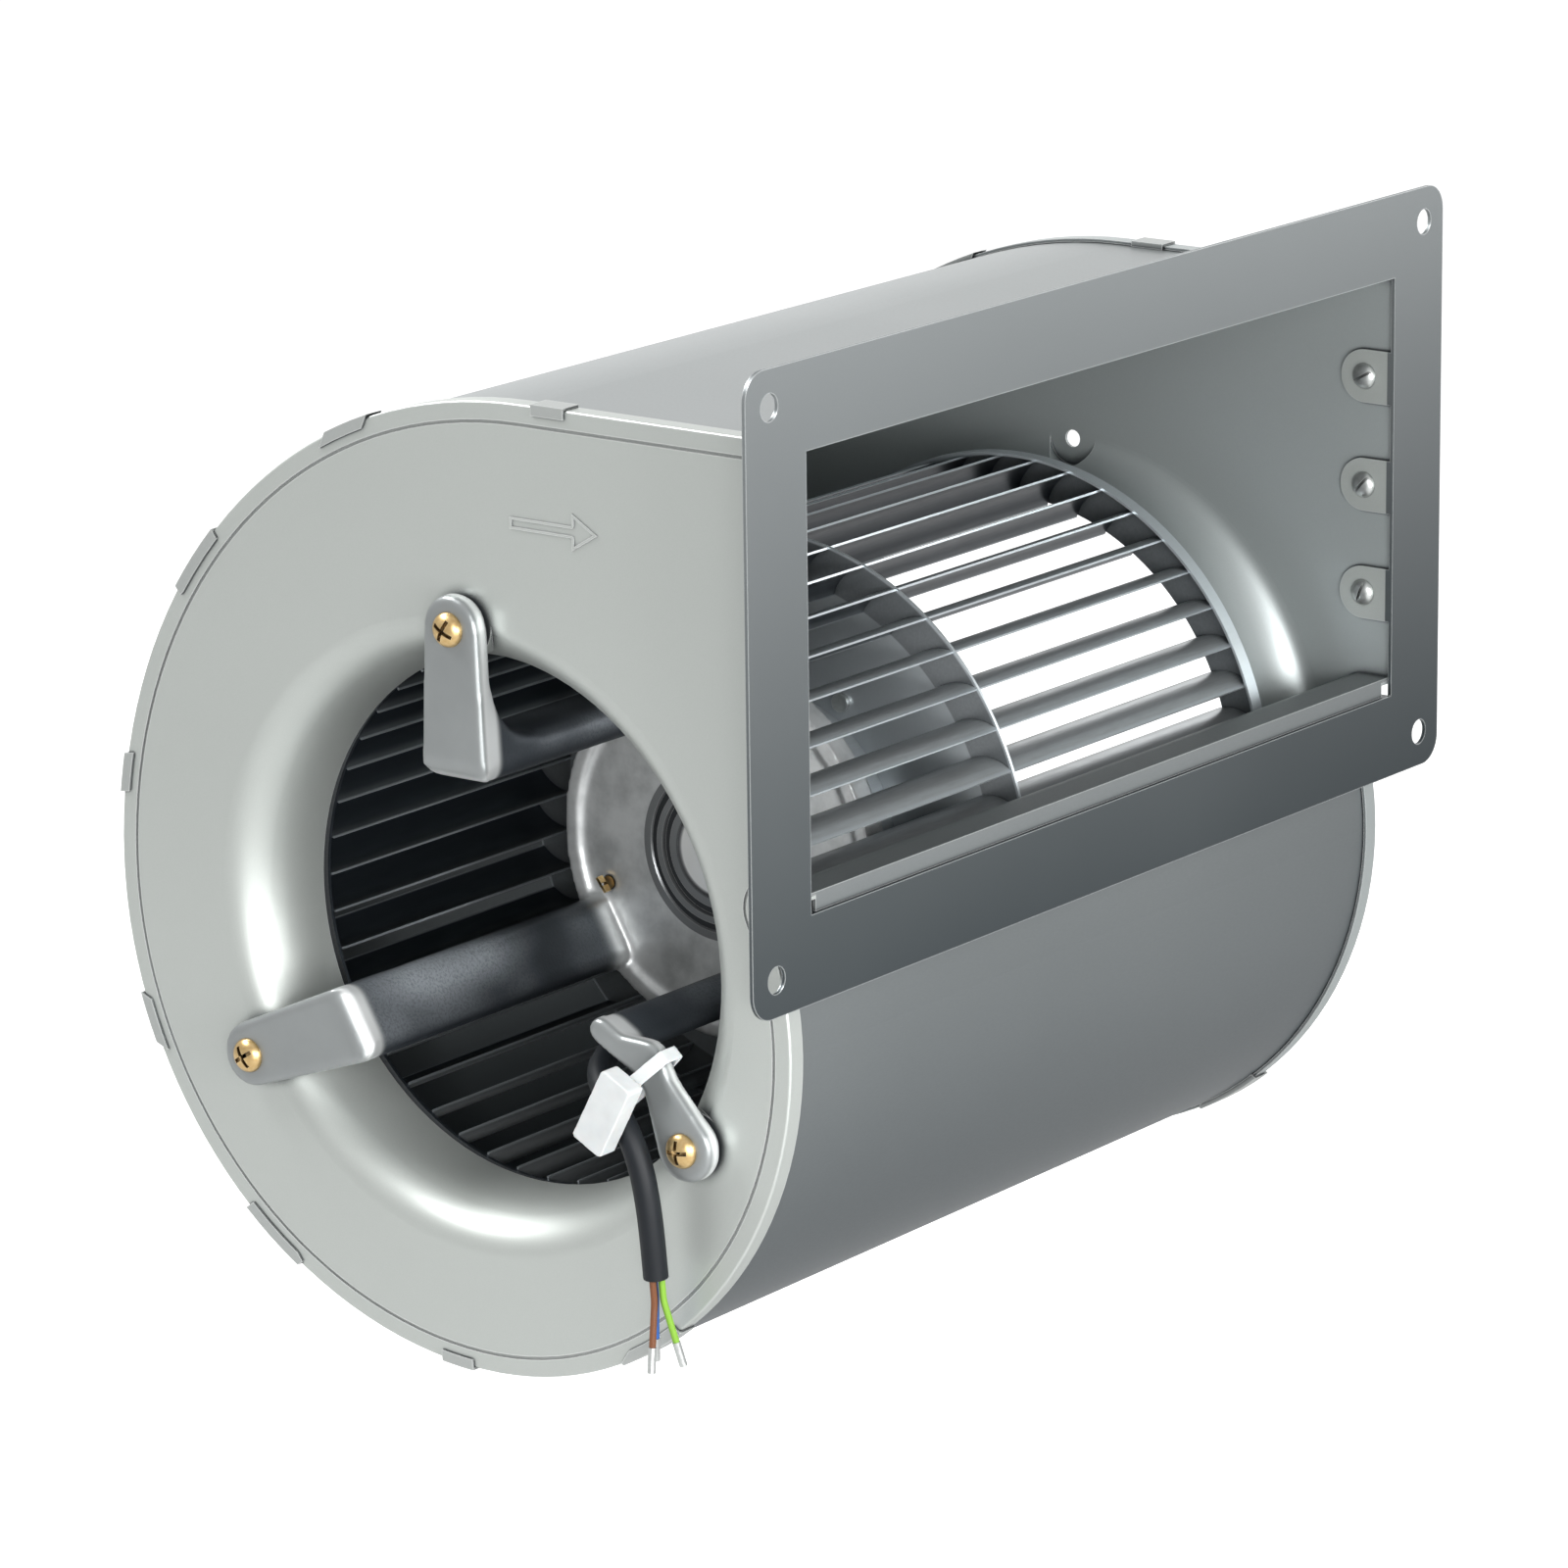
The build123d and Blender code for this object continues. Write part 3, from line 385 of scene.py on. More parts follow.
castLook = {
    "face": tone(0.24, 0.256, 0.258),
    "pale": tone(0.42, 0.44, 0.44),
    "leg": tone(0.030, 0.037, 0.047),
    "legHighlightTone": tone(0.46, 0.50, 0.54),
    # The hub's paler tone is partly its satin face and partly painted light
    "hub": tone(0.78, 0.80, 0.80),
    "shine": tone(0.88, 0.90, 0.90),
    "paintedShadeTone": tone(0.02, 0.024, 0.03),
    "paintedShade": (5 * mm, 0.15, 0.7),
    "bendStart": (-0.1905, -0.1885),
    "bendEnd": (-0.184, -0.180),
    # The painted highlight along the straps' bends
    "bendHighlightShare": 0.75,
    "hubStart": (-0.056, -0.046),
    "hubStains": (0.2, 0.7),
    "hubStainShare": 0.6,
    "hubCleanShare": 0.4,
    "detail": 4.0,
    "fineness": 0.6,
    "stainScale": 55.0,
    "stainShare": 0.3,
    "stainRough": 0.08,
    "pitScale": 1100.0,
    "pitSpread": (0.3, 0.6),
    "pitShare": 0.4,
    "pitRest": 0.6,
    "pitDepth": 0.15 * mm,
    "pitStrength": 0.2,
    "legPitStrength": 0.35,
    # Where the legs' painted highlights and painted pool of light fall
    "legTop": (0.75, -0.1, 0.65),
    "legTopFacing": (0.3, 0.98),
    "legTopShare": 0.5,
    "legLight": ((-0.195, -0.132, -0.139), (0.024, 0.052, 0.016)),
    "legShare": 0.95,
    "legRough": 0.08,
    "legEdgeLoss": 0.7,
    "cloudScale": 16.0,
    "cloudDetail": 2.0,
    "cloudSpread": (0.3, 0.7),
    "edgeReach": 1.6 * mm,
    "edgeGain": 5.0,
    "metallic": 0.62,
    "roughness": 0.33,
}


# The bracket's straps are bright, with a painted highlight along their bends; the legs are rough and dark,
# with painted highlights on their tops; the hub is paler satin, partly painted light
def castAluminium(name, look):
    finish = Finish(name)
    spot = finish.place()
    depth = finish.along("Y", spot)
    places = [look[key] for key in ("bendStart", "bendEnd", "hubStart")]
    bendStart, bendEnd, hub = [finish.spread(depth, low, high) for low, high in places]
    legs = (bendEnd - hub).held()
    pits = finish.noise(spot, look["pitScale"], look["detail"], look["fineness"])
    stains = finish.noise(spot, look["stainScale"], look["detail"], look["fineness"])
    clouds = finish.noise(spot, look["cloudScale"], look["cloudDetail"])
    edges = finish.edge(look["edgeReach"], look["edgeGain"])
    colour = finish.blend(stains * look["stainShare"], look["face"], look["pale"])
    stained = finish.spread(stains, *look["hubStains"]) * look["hubStainShare"] + look["hubCleanShare"]
    # The hub's face is paler, partly painted light
    colour = finish.blend(stained * hub, colour, look["hub"])
    # Painted highlight along the straps' bends
    colour = finish.blend((bendStart - bendEnd).held() * look["bendHighlightShare"], colour, look["shine"])
    # Painted highlights on the legs' upper sides and a painted pool of light on the left leg
    legTopHighlight = finish.facing(look["legTop"], *look["legTopFacing"])
    legTopHighlight = legTopHighlight * finish.spread(clouds, *look["cloudSpread"]) * look["legTopShare"]
    pitted = finish.spread(pits, *look["pitSpread"]) * look["pitShare"] + look["pitRest"]
    lit = (legTopHighlight + finish.spotAt(*look["legLight"])).held() * pitted
    skin = finish.blend(lit, look["leg"], look["legHighlightTone"])
    colour = finish.blend(legs * look["legShare"], colour, skin)
    # Painted shade in corners and recesses
    colour = finish.blend(finish.openness(*look["paintedShade"]), look["paintedShadeTone"], colour)
    # Painted highlight along the edges, weaker on the legs
    colour = finish.blend(edges * (1 - legs * look["legEdgeLoss"]), colour, look["shine"])
    return finish.set(
        Base_Color=colour,
        Metallic=look["metallic"],
        Roughness=look["roughness"] + legs * look["legRough"] + stains * look["stainRough"],
        Normal=finish.bump(pits, look["pitDepth"], look["pitStrength"] + legs * look["legPitStrength"]),
    )


# Plated and ground steel with patchy wear, a painted highlight along its edges and painted shade in its
# recesses
platedLook = {
    "wearScale": 700.0,
    "wearDetail": 3.0,
    "wearShare": 0.5,
    "wearRough": 0.16,
    "edgeReach": 0.3 * mm,
    "edgeGain": 4.0,
    "edgeHighlightShare": 0.7,
    "paintedShade": (2.5 * mm, 0.25, 0.8),
    "metallic": 0.9,
    "roughness": 0.24,
}
platings = {
    "goldScrew": {
        "name": "yellowZinc",
        "base": tone(0.50, 0.31, 0.10), "shine": tone(0.96, 0.80, 0.50), "shade": tone(0.06, 0.03, 0.01),
    },
    "plainScrew": {
        "name": "brightZinc",
        "base": tone(0.42, 0.44, 0.43), "shine": tone(0.90, 0.92, 0.91), "shade": tone(0.03, 0.03, 0.03),
    },
    "bearing": {
        "name": "groundSteel",
        "base": tone(0.50, 0.51, 0.52), "shine": tone(0.85, 0.86, 0.87), "shade": tone(0.05, 0.05, 0.05),
    },
    "core": {
        "name": "coreSteel",
        "base": tone(0.12, 0.13, 0.15), "shine": tone(0.35, 0.37, 0.40), "shade": tone(0.02, 0.02, 0.02),
    },
}


def platedSteel(plating):
    look = platedLook
    finish = Finish(plating["name"])
    wear = finish.noise(finish.place(), look["wearScale"], look["wearDetail"])
    edges = finish.edge(look["edgeReach"], look["edgeGain"])
    colour = finish.blend(wear * look["wearShare"], plating["base"], plating["shine"])
    # Painted shade in recesses, then a painted highlight along the edges
    colour = finish.blend(finish.openness(*look["paintedShade"]), plating["shade"], colour)
    colour = finish.blend(edges * look["edgeHighlightShare"], colour, plating["shine"])
    return finish.set(
        Base_Color=colour, Metallic=look["metallic"], Roughness=look["roughness"] + wear * look["wearRough"],
    )


# Rubber, the lead's sheath, its cores and the clamp's nylon
plasticLook = {
    "cloudScale": 160.0,
    "cloudDetail": 2.0,
    "cloudShare": 0.3,
    "cloudRough": 0.1,
    "skinScale": 1800.0,
    "skinDetail": 1.0,
    "skinDepth": 0.02 * mm,
    "skinStrength": 0.3,
    "paintedShade": (3 * mm, 0.3, 0.9),
    "glowReach": 1.5 * mm,
    "specular": 0.3,
}
plastics = {
    "gland": {
        "name": "glandRubber", "roughness": 0.55, "glow": 0.0,
        "base": tone(0.020, 0.021, 0.023), "shade": tone(0.008, 0.008, 0.009),
    },
    "sheath": {
        "name": "leadSheath", "roughness": 0.48, "glow": 0.0,
        "base": tone(0.005, 0.007, 0.010), "shade": tone(0.002, 0.003, 0.004),
    },
    "brownCore": {
        "name": "brownCore", "roughness": 0.4, "glow": 0.0,
        "base": tone(0.16, 0.06, 0.025), "shade": tone(0.06, 0.02, 0.01),
    },
    "blueCore": {
        "name": "blueCore", "roughness": 0.4, "glow": 0.0,
        "base": tone(0.03, 0.12, 0.42), "shade": tone(0.01, 0.04, 0.16),
    },
    "earthCore": {
        "name": "earthCore", "roughness": 0.4, "glow": 0.0,
        "base": tone(0.20, 0.40, 0.04), "shade": tone(0.08, 0.16, 0.02),
    },
    "clamp": {
        "name": "clampNylon", "roughness": 0.32, "glow": 0.1,
        "base": tone(0.58, 0.60, 0.60), "shade": tone(0.16, 0.18, 0.20),
    },
}


def mouldedPlastic(plastic):
    look = plasticLook
    finish = Finish(plastic["name"])
    clouds = finish.noise(finish.place(), look["cloudScale"], look["cloudDetail"])
    skin = finish.noise(finish.place(), look["skinScale"], look["skinDetail"])
    colour = finish.blend(clouds * look["cloudShare"], plastic["base"], plastic["shade"])
    # Painted shade in recesses and where parts meet
    colour = finish.blend(finish.openness(*look["paintedShade"]), plastic["shade"], colour)
    return finish.set(
        Base_Color=colour,
        Roughness=plastic["roughness"] + clouds * look["cloudRough"],
        Subsurface_Weight=plastic["glow"],
        Subsurface_Scale=look["glowReach"],
        Specular_IOR_Level=look["specular"],
        Normal=finish.bump(skin, look["skinDepth"], look["skinStrength"]),
    )


capLook = {
    "grooves": [(16.6 * mm, 17.8 * mm), (21.3 * mm, 24.1 * mm), (27.3 * mm, 30.1 * mm)],
    "grooveSoft": 0.4 * mm,
    "grooveShadeShare": 0.9,
    "disc": 16.6 * mm,
    "discSoft": 1 * mm,
    "ring": tone(0.22, 0.23, 0.235),
    "pale": tone(0.90, 0.91, 0.90),
    "dark": tone(0.02, 0.022, 0.026),
    "edgeReach": 0.3 * mm,
    "edgeGain": 5.0,
    "edgeHighlightShare": 0.8,
    "metallic": 0.5,
    "roughness": 0.28,
}


# The cap's middle is pale; its grooves carry painted shade and its edges a painted highlight
def cappedSteel(name, look):
    finish = Finish(name)
    reach = finish.radius()
    edges = finish.edge(look["edgeReach"], look["edgeGain"])
    rings = finish.spread(reach, look["disc"] - look["discSoft"], look["disc"])
    colour = finish.blend(rings, look["pale"], look["ring"])
    # Painted shade in the grooves
    for inner, outer in look["grooves"]:
        groove = finish.band(reach, inner, outer, look["grooveSoft"])
        colour = finish.blend(groove * look["grooveShadeShare"], colour, look["dark"])
    # Painted highlight along the edges
    colour = finish.blend(edges * look["edgeHighlightShare"], colour, look["pale"])
    return finish.set(Base_Color=colour, Metallic=look["metallic"], Roughness=look["roughness"])


coilLook = {
    "dark": tone(0.20, 0.07, 0.03),
    "pale": tone(0.60, 0.28, 0.12),
    "wireScale": 420.0,
    "wander": 1.5,
    "detail": 1.0,
    "wireDepth": 0.1 * mm,
    "wireStrength": 1.0,
    "metallic": 0.6,
    "roughness": 0.35,
}


def coilCopper(name, look):
    finish = Finish(name)
    strands = finish.node("ShaderNodeTexWave", {"bands_direction": "Z"}, {
        "Vector": finish.place(), "Scale": look["wireScale"], "Distortion": look["wander"],
        "Detail": look["detail"],
    })
    return finish.set(
        Base_Color=finish.blend(strands, look["dark"], look["pale"]),
        Metallic=look["metallic"],
        Roughness=look["roughness"],
        Normal=finish.bump(strands, look["wireDepth"], look["wireStrength"]),
    )


finishes = {
    "blade": bladeSteel("bladeSheet", bladeLook),
    "cast": castAluminium("castAluminium", castLook),
    "cap": cappedSteel("cappedSteel", capLook),
    "copper": coilCopper("coilCopper", coilLook),
}
for looks, makeFinish in ((sheets, sheetMetal), (platings, platedSteel), (plastics, mouldedPlastic)):
    for key, look in looks.items():
        finishes[key] = makeFinish(look)
nodeFinishes = {
    "scroll_wrap": "wrap", "side_plate_near": "plate", "side_plate_far": "farPlate", "crimp_clips": "clip",
    "outlet_flange": "flange", "flange_screws": "plainScrew", "motor_bracket": "cast",
    "bracket_screws": "goldScrew", "bracket_nuts": "plainScrew", "hub_screws": "goldScrew",
    "hub_cap": "cap", "cable_gland": "gland", "motor_lead": "sheath", "lead_core_brown": "brownCore",
    "lead_core_blue": "blueCore", "lead_core_earth": "earthCore", "core_ferrules": "plainScrew",
    "cable_clamp": "clamp", "stator_bush": "cast", "stator_core": "core", "stator_windings": "copper",
    "bearing_outer_rings": "bearing", "preload_washer": "bearing", "motor_shaft": "bearing",
    "shaft_circlip": "bearing", "bearing_inner_rings": "bearing", "bearing_balls": "bearing",
    "rotor_can": "blade", "rotor_cage": "cast", "impeller_disc": "blade", "disc_rivets": "plainScrew",
    "blades_near": "blade", "blades_far": "blade", "end_ring_near": "blade", "end_ring_far": "blade",
}
for node, finishName in nodeFinishes.items():
    for materialSlot in frame["nodes"][node].material_slots:
        materialSlot.material = finishes[finishName]
print("finishes made,", len(finishes))


def addPiece(name, data, finish=None):
    piece = bpy.data.objects.new(name, data)
    bpy.context.scene.collection.objects.link(piece)
    if finish:
        data.materials.append(finishes[finish])
    return piece


# The lead: a sheathed cord on the source's own route, which replaces its plain tube
leadRoute = {
    "points": [
        (-98.9, -36.0, -141.0), (-98.9, -76.0, -141.0), (-98.8, -118.0, -141.2), (-98.0, -156.0, -142.5),
        (-93.0, -178.5, -146.5), (-84.0, -190.5, -150.0), (-72.5, -197.0, -154.5), (-64.5, -199.0, -162.5),
        (-59.7, -199.0, -173.5), (-57.4, -198.3, -187.0), (-56.6, -197.2, -201.0), (-56.4, -196.2, -213.0),
    ],
    "diameter": 8.8 * mm,
    "length": 0.2352,
    "steps": 10,
    "sides": 6,
}


def makeLead(look):
    curve = bpy.data.curves.new("motorLead", "CURVE")
    curve.dimensions = "3D"
    spline = curve.splines.new("NURBS")
    spline.points.add(len(look["points"]) - 1)
    for control, spot in zip(spline.points, look["points"]):
        control.co = (*[value * mm for value in spot], 1)
    spline.order_u = 3
    spline.use_endpoint_u = True
    spline.resolution_u = look["steps"]
    curve.bevel_depth = look["diameter"] / 2
    curve.bevel_resolution = look["sides"]
    curve.use_fill_caps = True
    lead = addPiece("motorLead", curve, "sheath")
    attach(lead, "housing")
    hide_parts("motor_lead")


makeLead(leadRoute)
print("lead made")


# A geometry tree with named inputs, grown into a plain mesh
class GrowTree(Graph):
    kinds = {
        int: "NodeSocketInt", float: "NodeSocketFloat", tuple: "NodeSocketVector",
        bpy.types.Object: "NodeSocketObject", bpy.types.Material: "NodeSocketMaterial",
    }

    def __init__(self, name, values):
        self.tree = bpy.data.node_groups.new(name, "GeometryNodeTree")
        self.values = values
        self.tree.interface.new_socket("Geometry", in_out="OUTPUT", socket_type="NodeSocketGeometry")
        for key, value in values.items():
            self.tree.interface.new_socket(key, in_out="INPUT", socket_type=self.kinds[type(value)])
        self.entry = self.tree.nodes.new("NodeGroupInput")
        self.exit = self.tree.nodes.new("NodeGroupOutput")

    def input(self, key):
        return Signal(self, self.entry.outputs[key])

    def moved(self, shape, change):
        return self.node("GeometryNodeTransform", {}, {"Geometry": shape, **change})

    def copies(self, shape, spots, rotation):
        return self.node("GeometryNodeInstanceOnPoints", {}, {
            "Points": spots, "Instance": shape, "Rotation": rotation,
        })

    def grow(self, shape, finish):
        whole = self.node("GeometryNodeRealizeInstances", {}, {"Geometry": shape})
        painted = self.node("GeometryNodeSetMaterial", {}, {"Geometry": whole, "Material": finishes[finish]})
        self.tree.links.new(painted.socket, self.exit.inputs["Geometry"])
        piece = addPiece(self.tree.name, bpy.data.meshes.new(self.tree.name))
        modifier = piece.modifiers.new("grow", "NODES")
        modifier.node_group = self.tree
        for item in self.tree.interface.items_tree:
            if item.in_out == "INPUT":
                modifier[item.identifier] = self.values[item.name]
        bake(piece)
        piece.data.name = self.tree.name
        return piece


# The modifiers' result becomes the piece's own mesh
def bake(piece):
    baked = bpy.data.meshes.new_from_object(piece.evaluated_get(bpy.context.evaluated_depsgraph_get()))
    piece.modifiers.clear()
    piece.data = baked


def smooth(mesh, angle):
    mesh.polygons.foreach_set("use_smooth", [True] * len(mesh.polygons))
    mesh.set_sharp_from_angle(angle=math.radians(angle))


# Blades: strips swept along their camber and repeated round the axis
bladeRing = {
    "count": 44,
    "inner": 96.0 * mm,
    "outer": 112.5 * mm,
    "thickness": 0.8 * mm,
    "turn": math.radians(62.0),
    "edge": 0.22 * mm,
    "edgeSteps": 1,
    "camberSteps": 10,
    "sharpAngle": 35,
}


# The camber's bend follows from the ring's two radii and the blade's turn
def makeBlades(name, look, node):
    low, high = [Vector(corner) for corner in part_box(node)]
    sine = math.sin(look["turn"])
    chord = sine ** 2 + (1 - math.cos(look["turn"])) ** 2
    tip = look["outer"] - look["thickness"] / 2
    lever = look["inner"] * sine
    bend = (math.sqrt(lever ** 2 + chord * (tip ** 2 - look["inner"] ** 2)) - lever) / chord
    tree = GrowTree(name, {
        "Count": look["count"], "Bend radius": bend, "Turn": look["turn"], "Thickness": look["thickness"],
        "Edge": look["edge"], "Length": high.y - low.y, "Inner radius": look["inner"],
        "Middle": (fanCentre.x, (high.y + low.y) / 2, fanCentre.z),
    })
    camber = tree.node("GeometryNodeCurveArc", {"mode": "RADIUS"}, {
        "Resolution": look["camberSteps"], "Radius": tree.input("Bend radius"),
        "Start Angle": math.pi / 2 - look["turn"], "Sweep Angle": tree.input("Turn"),
    })
    section = tree.node("GeometryNodeCurvePrimitiveQuadrilateral", {"mode": "RECTANGLE"}, {
        "Width": tree.input("Thickness"), "Height": tree.input("Length"),
    })
    section = tree.node("GeometryNodeFilletCurve", {"mode": "POLY"}, {
        "Curve": section, "Count": look["edgeSteps"], "Radius": tree.input("Edge"),
    })
    strip = tree.node("GeometryNodeCurveToMesh", {}, {
        "Curve": camber, "Profile Curve": section, "Fill Caps": True,
    })
    foot = tree.combine(tree.input("Inner radius"), tree.input("Bend radius") * -1)
    strip = tree.moved(strip, {"Translation": foot})
    spots = tree.node("GeometryNodePoints", {}, {"Count": tree.input("Count")})
    number = tree.node("GeometryNodeInputIndex", {}, {})
    turn = tree.combine(z=number * math.tau / tree.input("Count"))
    ring = tree.copies(strip, spots, turn)
    ring = tree.moved(ring, {"Rotation": (math.pi / 2, 0, 0), "Translation": tree.input("Middle")})
    blades = tree.grow(ring, "blade")
    smooth(blades.data, look["sharpAngle"])
    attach(blades, "impeller")
    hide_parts(node)


makeBlades("bladesNear", bladeRing, "blades_near")
makeBlades("bladesFar", bladeRing, "blades_far")
print("blades made")


# Castings and mouldings: the solid itself, remeshed and eased so that its edges round over
easedShapes = {
    "castBracket": {
        "node": "motor_bracket", "slot": "cast_aluminium", "finish": "cast",
        "cell": 1.15 * mm, "factor": 0.5, "passes": 7, "legs": (-0.186, -0.052), "legPasses": 45,
    },
    "nylonClamp": {
        "node": "cable_clamp", "slot": "clamp_white", "finish": "clamp",
        "cell": 0.4 * mm, "factor": 0.5, "passes": 8,
    },
}
weldWithin = 0.002 * mm


# A solid's mesh is loose triangles, so its copy is merged
def mergedCopy(name, node):
    shape = bmesh.new()
    shape.from_mesh(frame["nodes"][node].data)
    bmesh.ops.remove_doubles(shape, verts=shape.verts, dist=weldWithin)
    mesh = bpy.data.meshes.new(name)
    shape.to_mesh(mesh)
    shape.free()
    return mesh


# The legs are rounder than the straps and the hub
def easeLegs(piece, look):
    legs = piece.vertex_groups.new(name="legs")
    low, high = look["legs"]
    legs.add([v.index for v in piece.data.vertices if low < v.co.y < high], 1.0, "REPLACE")
    ease = piece.modifiers.new("easeLegs", "SMOOTH")
    ease.vertex_group = "legs"
    ease.factor = look["factor"]
    ease.iterations = look["legPasses"]
    bake(piece)
    piece.vertex_groups.clear()


def makeEased(name, look):
    piece = addPiece(name, mergedCopy(name, look["node"]))
    remesh = piece.modifiers.new("remesh", "REMESH")
    remesh.mode = "VOXEL"
    remesh.voxel_size = look["cell"]
    remesh.use_smooth_shade = True
    ease = piece.modifiers.new("ease", "SMOOTH")
    ease.factor = look["factor"]
    ease.iterations = look["passes"]
    bake(piece)
    if "legs" in look:
        easeLegs(piece, look)
    piece.data.name = name
    piece.data.materials.clear()
    piece.data.materials.append(finishes[look["finish"]])
    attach(piece, "housing")
    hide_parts(look["node"])
    print(name, len(piece.data.polygons), "faces")


for name, look in easedShapes.items():
    makeEased(name, look)

# Screws: a domed head with its recess cut out, repeated on a circle or in a row
screwMesh = {
    "headSegments": 40,
    "headRings": 24,
    "shankSides": 24,
    "cutterSize": 4,
    "sharpAngle": 40,
}
screwSets = {
    "lugScrews": {
        "node": "bracket_screws", "slot": "zinc_screws", "finish": "goldScrew", "facing": 1,
        "head": 6.2 * mm, "rise": 4.0 * mm, "shank": 3.0 * mm, "reach": 23.2 * mm,
        "recess": 1.5 * mm, "bars": 2, "barLength": 1.35, "spin": 0.5, "bothSides": False,
        "count": 3, "circle": 112.5 * mm, "start": 90.0, "pitch": 0.0,
        "along": 0.0, "seat": -192.0 * mm, "lift": 0.0,
    },
    "hubScrews": {
        "node": "hub_screws", "slot": "zinc_screws", "finish": "goldScrew", "facing": 1,
        "head": 4.75 * mm, "rise": 3.0 * mm, "shank": 2.5 * mm, "reach": 13.0 * mm,
        "recess": 1.2 * mm, "bars": 2, "barLength": 1.35, "spin": 0.3, "bothSides": False,
        "count": 4, "circle": 55.0 * mm, "start": 21.0, "pitch": 0.0,
        "along": 0.0, "seat": -43.0 * mm, "lift": 0.0,
    },
    "tabScrews": {
        "node": "flange_screws", "slot": "plain_screws", "finish": "plainScrew", "facing": -1,
        "head": 4.8 * mm, "rise": 2.4 * mm, "shank": 1.95 * mm, "reach": 2.7 * mm,
        "recess": 1.1 * mm, "bars": 1, "barLength": 2.4, "spin": 0.35, "bothSides": True,
        "count": 3, "circle": 0.0, "start": 0.0, "pitch": 41.0 * mm,
        "along": 132.0 * mm, "seat": -180.3 * mm, "lift": 111.0 * mm,
    },
}


# One screw at the origin, its head towards +Z: the dome, less the cutters, and the shank
def screwShape(tree, look):
    head = tree.input("Head radius")
    rise = tree.input("Head rise")
    ball = tree.node("GeometryNodeMeshUVSphere", {}, {
        "Segments": screwMesh["headSegments"], "Rings": screwMesh["headRings"], "Radius": 1.0,
    })
    dome = tree.moved(ball, {"Scale": tree.combine(head, head, rise)})
    side = head * screwMesh["cutterSize"]
    block = tree.node("GeometryNodeMeshCube", {}, {"Size": tree.combine(side, side, side)})
    below = tree.combine(z=head * (-screwMesh["cutterSize"] / 2))
    cutters = [tree.moved(block, {"Translation": below})]
    for turn in range(look["bars"]):
        size = tree.combine(tree.input("Recess"), head * look["barLength"], rise)
        cutters.append(tree.moved(tree.node("GeometryNodeMeshCube", {}, {"Size": size}), {
            "Translation": tree.combine(z=rise), "Rotation": (0.0, 0.0, turn * math.pi / 2),
        }))
    cut = tree.node("GeometryNodeMeshBoolean", {"operation": "DIFFERENCE"}, {
        "Mesh 1": dome, "Mesh 2": cutters,
    })
    shank = tree.node("GeometryNodeMeshCylinder", {}, {
        "Vertices": screwMesh["shankSides"], "Radius": tree.input("Shank radius"),
        "Depth": tree.input("Reach"),
    })
    shank = tree.moved(shank, {"Translation": tree.combine(z=tree.input("Reach") * -0.5)})
    return tree.node("GeometryNodeJoinGeometry", {}, {"Geometry": [cut, shank]})


def makeScrews(name, look):
    tree = GrowTree(name, {
        "Count": look["count"], "Head radius": look["head"], "Head rise": look["rise"],
        "Shank radius": look["shank"], "Reach": look["reach"], "Recess": look["recess"],
        "Circle": look["circle"], "Pitch": look["pitch"], "Start": math.radians(look["start"]),
        "Spin": look["spin"],
        "Foot": (fanCentre.x + look["along"], fanCentre.y + look["seat"], fanCentre.z + look["lift"]),
    })
    screw = screwShape(tree, look)
    number = tree.node("GeometryNodeInputIndex", {}, {})
    angle = number * math.tau / tree.input("Count") + tree.input("Start")
    row = (number - (tree.input("Count") - 1) / 2) * tree.input("Pitch")
    spot = tree.combine(
        tree.maths("COSINE", angle) * tree.input("Circle"),
        z=tree.maths("SINE", angle) * tree.input("Circle") + row,
    )
    spots = tree.node("GeometryNodePoints", {}, {"Count": tree.input("Count"), "Position": spot})
    tilt = tree.combine(look["facing"] * math.pi / 2, (number + 1) * tree.input("Spin"))
    screws = tree.moved(tree.copies(screw, spots, tilt), {"Translation": tree.input("Foot")})
    if look["bothSides"]:
        plain = tree.node("GeometryNodeRealizeInstances", {}, {"Geometry": screws})
        mirrored = tree.moved(plain, {"Scale": (1.0, -1.0, 1.0)})
        mirrored = tree.node("GeometryNodeFlipFaces", {}, {"Mesh": mirrored})
        screws = tree.node("GeometryNodeJoinGeometry", {}, {"Geometry": [screws, mirrored]})
    piece = tree.grow(screws, look["finish"])
    smooth(piece.data, screwMesh["sharpAngle"])
    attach(piece, "housing")
    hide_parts(look["node"])


for name, look in screwSets.items():
    makeScrews(name, look)
print("screws made")


# The floor lies well below the fan, which hangs by its flange; it and the sky show as plain white
studio = {
    "floorDrop": 0.16,
    "floorSize": 12.0,
    "floorColour": tone(0.55, 0.55, 0.55),
    "floorRoughness": 0.9,
    "floorGlow": 0.75,
    "worldLight": 0.5,
    "worldColour": tone(1, 1, 1),
    "backdrop": 1.0,
    "mirroredFloor": 0.15,
    "mirroredSky": 0.25,
}
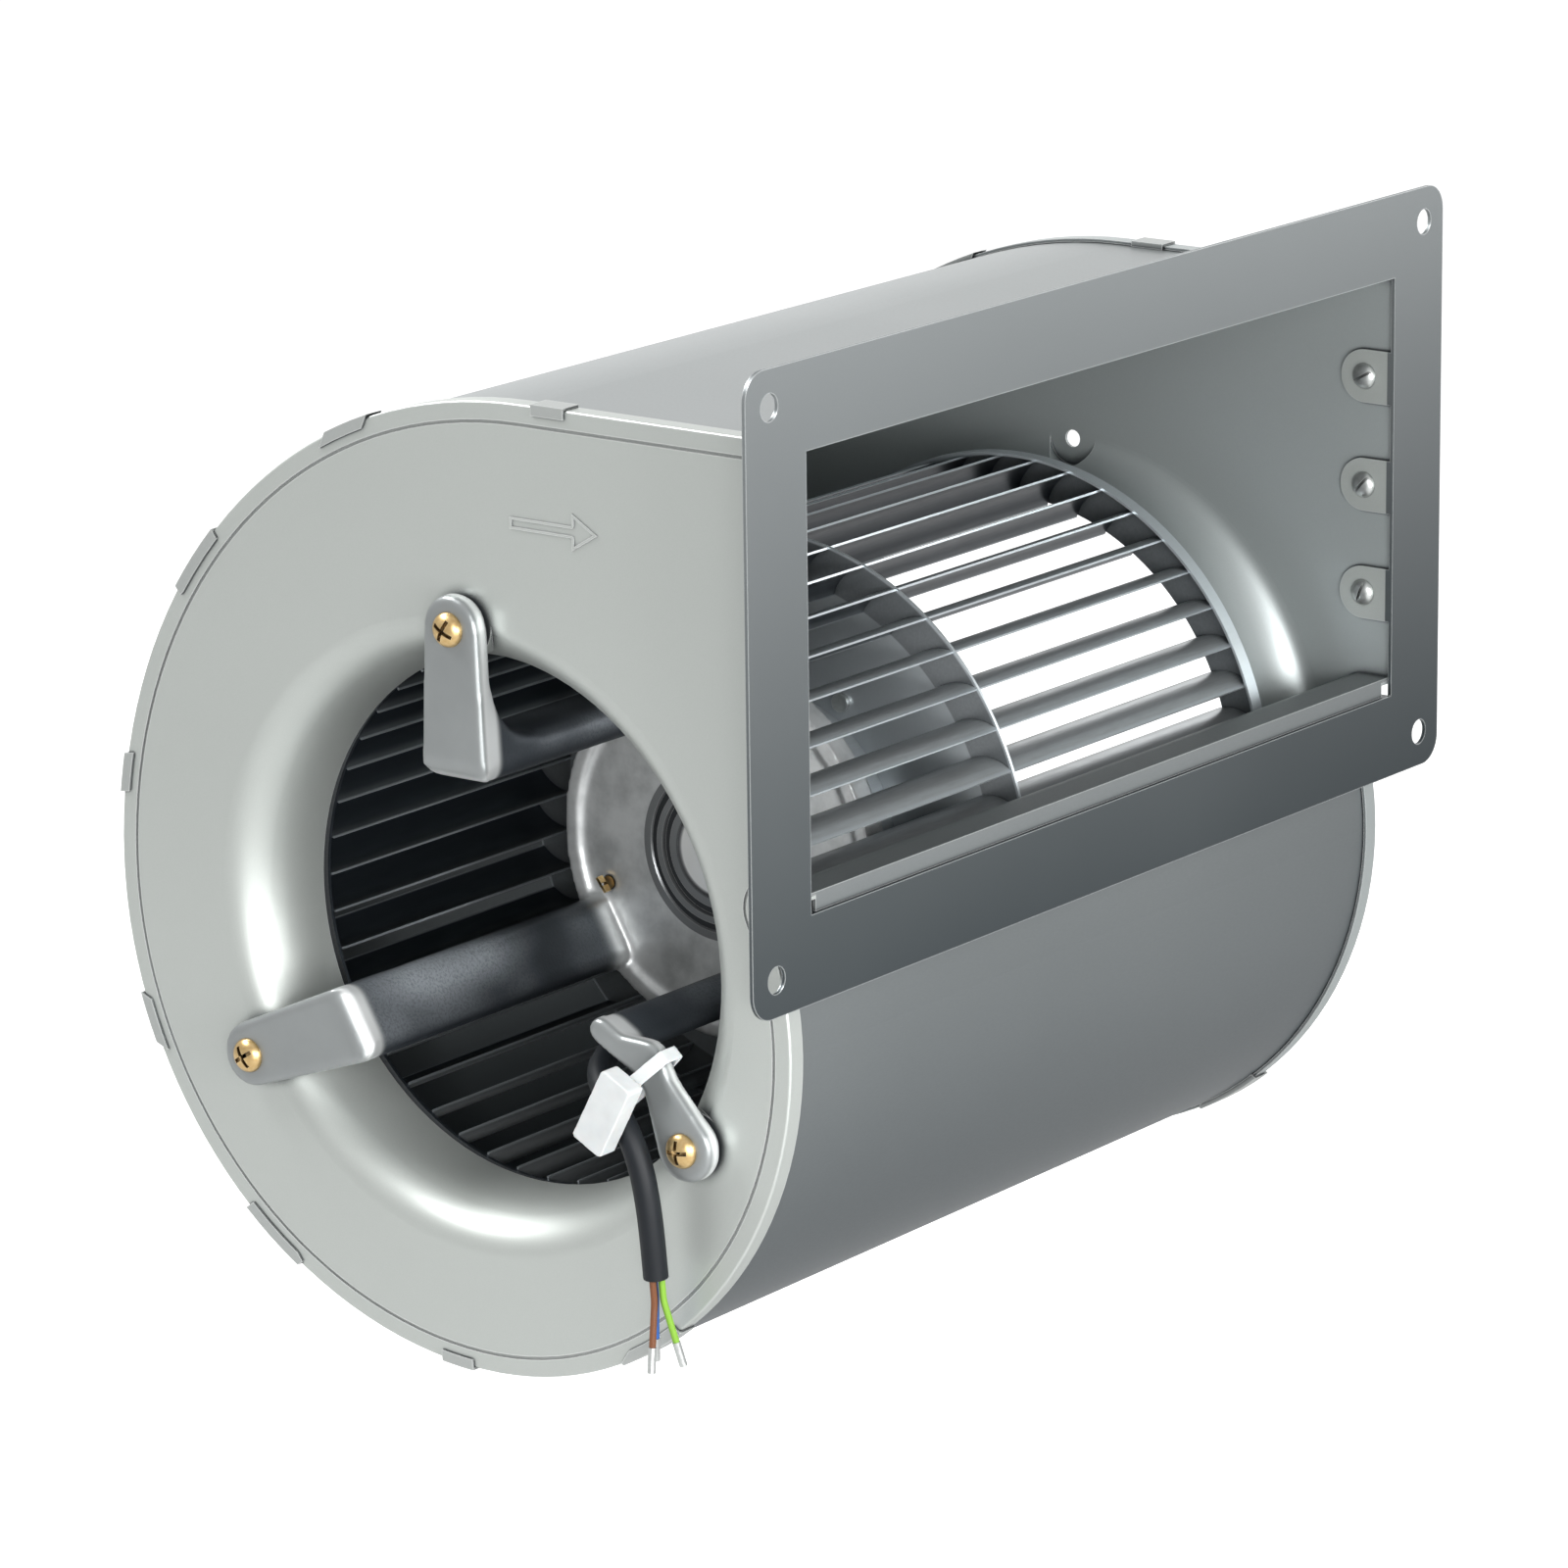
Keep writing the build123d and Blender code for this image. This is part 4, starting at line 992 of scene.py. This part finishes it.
# Each lamp looks at its target; both its direction and its target count from the fan's centre
lamps = {
    "keyLamp": {
        "direction": (-0.58, -0.30, 0.75), "distance": 1.8, "size": (1.2, 0.5), "power": 34,
        "target": (0, 0, 0),
    },
    "frontLamp": {
        "direction": (0.80, -0.50, -0.15), "distance": 1.8, "size": (1.6, 1.3), "power": 27,
        "target": (0, 0, 0),
    },
    "outletLamp": {
        "direction": (0.72, -0.50, 0.06), "distance": 0.8, "size": (0.35, 0.3), "power": 3.6,
        "target": (0.07, 0.14, 0.06),
    },
    "fillLamp": {
        "direction": (0.60, -0.77, 0.20), "distance": 1.9, "size": (0.6, 0.6), "power": 15,
        "target": (0, 0, 0),
    },
    "rimLamp": {
        "direction": (-0.58, 0.75, 0.32), "distance": 1.9, "size": (2.6, 0.9), "power": 7.5,
        "target": (0, 0, 0),
    },
    "flangeLamp": {
        "direction": (0.60, 0.75, 0.22), "distance": 0.95, "size": (0.5, 0.4), "power": 2,
        "target": (0.145, 0, 0.11),
    },
}


# 1 where the camera sees a surface itself or through glass, and a share where metal mirrors it
def shownShare(graph, mirrored):
    kinds = ("Camera", "Transmission", "Glossy")
    seen, through, glossy = [
        graph.node("ShaderNodeLightPath", {}, {}, "Is %s Ray" % kind) for kind in kinds
    ]
    return (seen + through + glossy * mirrored).held()


def makeFloor(look):
    finish = Finish("paleFloor")
    glow = look["floorGlow"]
    glow = finish.blend(shownShare(finish, look["mirroredFloor"]), tone(0, 0, 0), tone(glow, glow, glow))
    half = look["floorSize"] / 2
    level = cadBox[0][2] - look["floorDrop"]
    corners = [(-half, -half, level), (half, -half, level), (half, half, level), (-half, half, level)]
    mesh = bpy.data.meshes.new("floor")
    mesh.from_pydata(corners, [], [(0, 1, 2, 3)])
    mesh.materials.append(finish.set(
        Base_Color=look["floorColour"], Roughness=look["floorRoughness"], Emission_Color=glow,
        Emission_Strength=1.0,
    ))
    addPiece("floor", mesh)


def makeSky(look):
    world = bpy.data.worlds.new("studioWorld")
    bpy.context.scene.world = world
    world.use_nodes = True
    world.node_tree.nodes.clear()
    sky = Graph()
    sky.tree = world.node_tree
    shown = shownShare(sky, look["mirroredSky"])
    strength = shown * (look["backdrop"] - look["worldLight"]) + look["worldLight"]
    light = sky.node("ShaderNodeBackground", {}, {"Color": look["worldColour"], "Strength": strength})
    sky.node("ShaderNodeOutputWorld", {}, {"Surface": light}, None)


def addLamp(name, look):
    data = bpy.data.lights.new(name, "AREA")
    data.shape = "RECTANGLE"
    data.size, data.size_y = look["size"]
    data.energy = look["power"]
    lamp = bpy.data.objects.new(name, data)
    lamp.visible_camera = False
    bpy.context.scene.collection.objects.link(lamp)
    aim = Vector(look["direction"]).normalized()
    spot = fanCentre + Vector(look["target"]) + aim * look["distance"]
    lamp.matrix_world = Matrix.Translation(spot) @ aim.to_track_quat("Z", "Y").to_matrix().to_4x4()


makeFloor(studio)
makeSky(studio)
for name, look in lamps.items():
    addLamp(name, look)
bpy.context.scene.view_settings.view_transform = "Standard"
print("studio made")
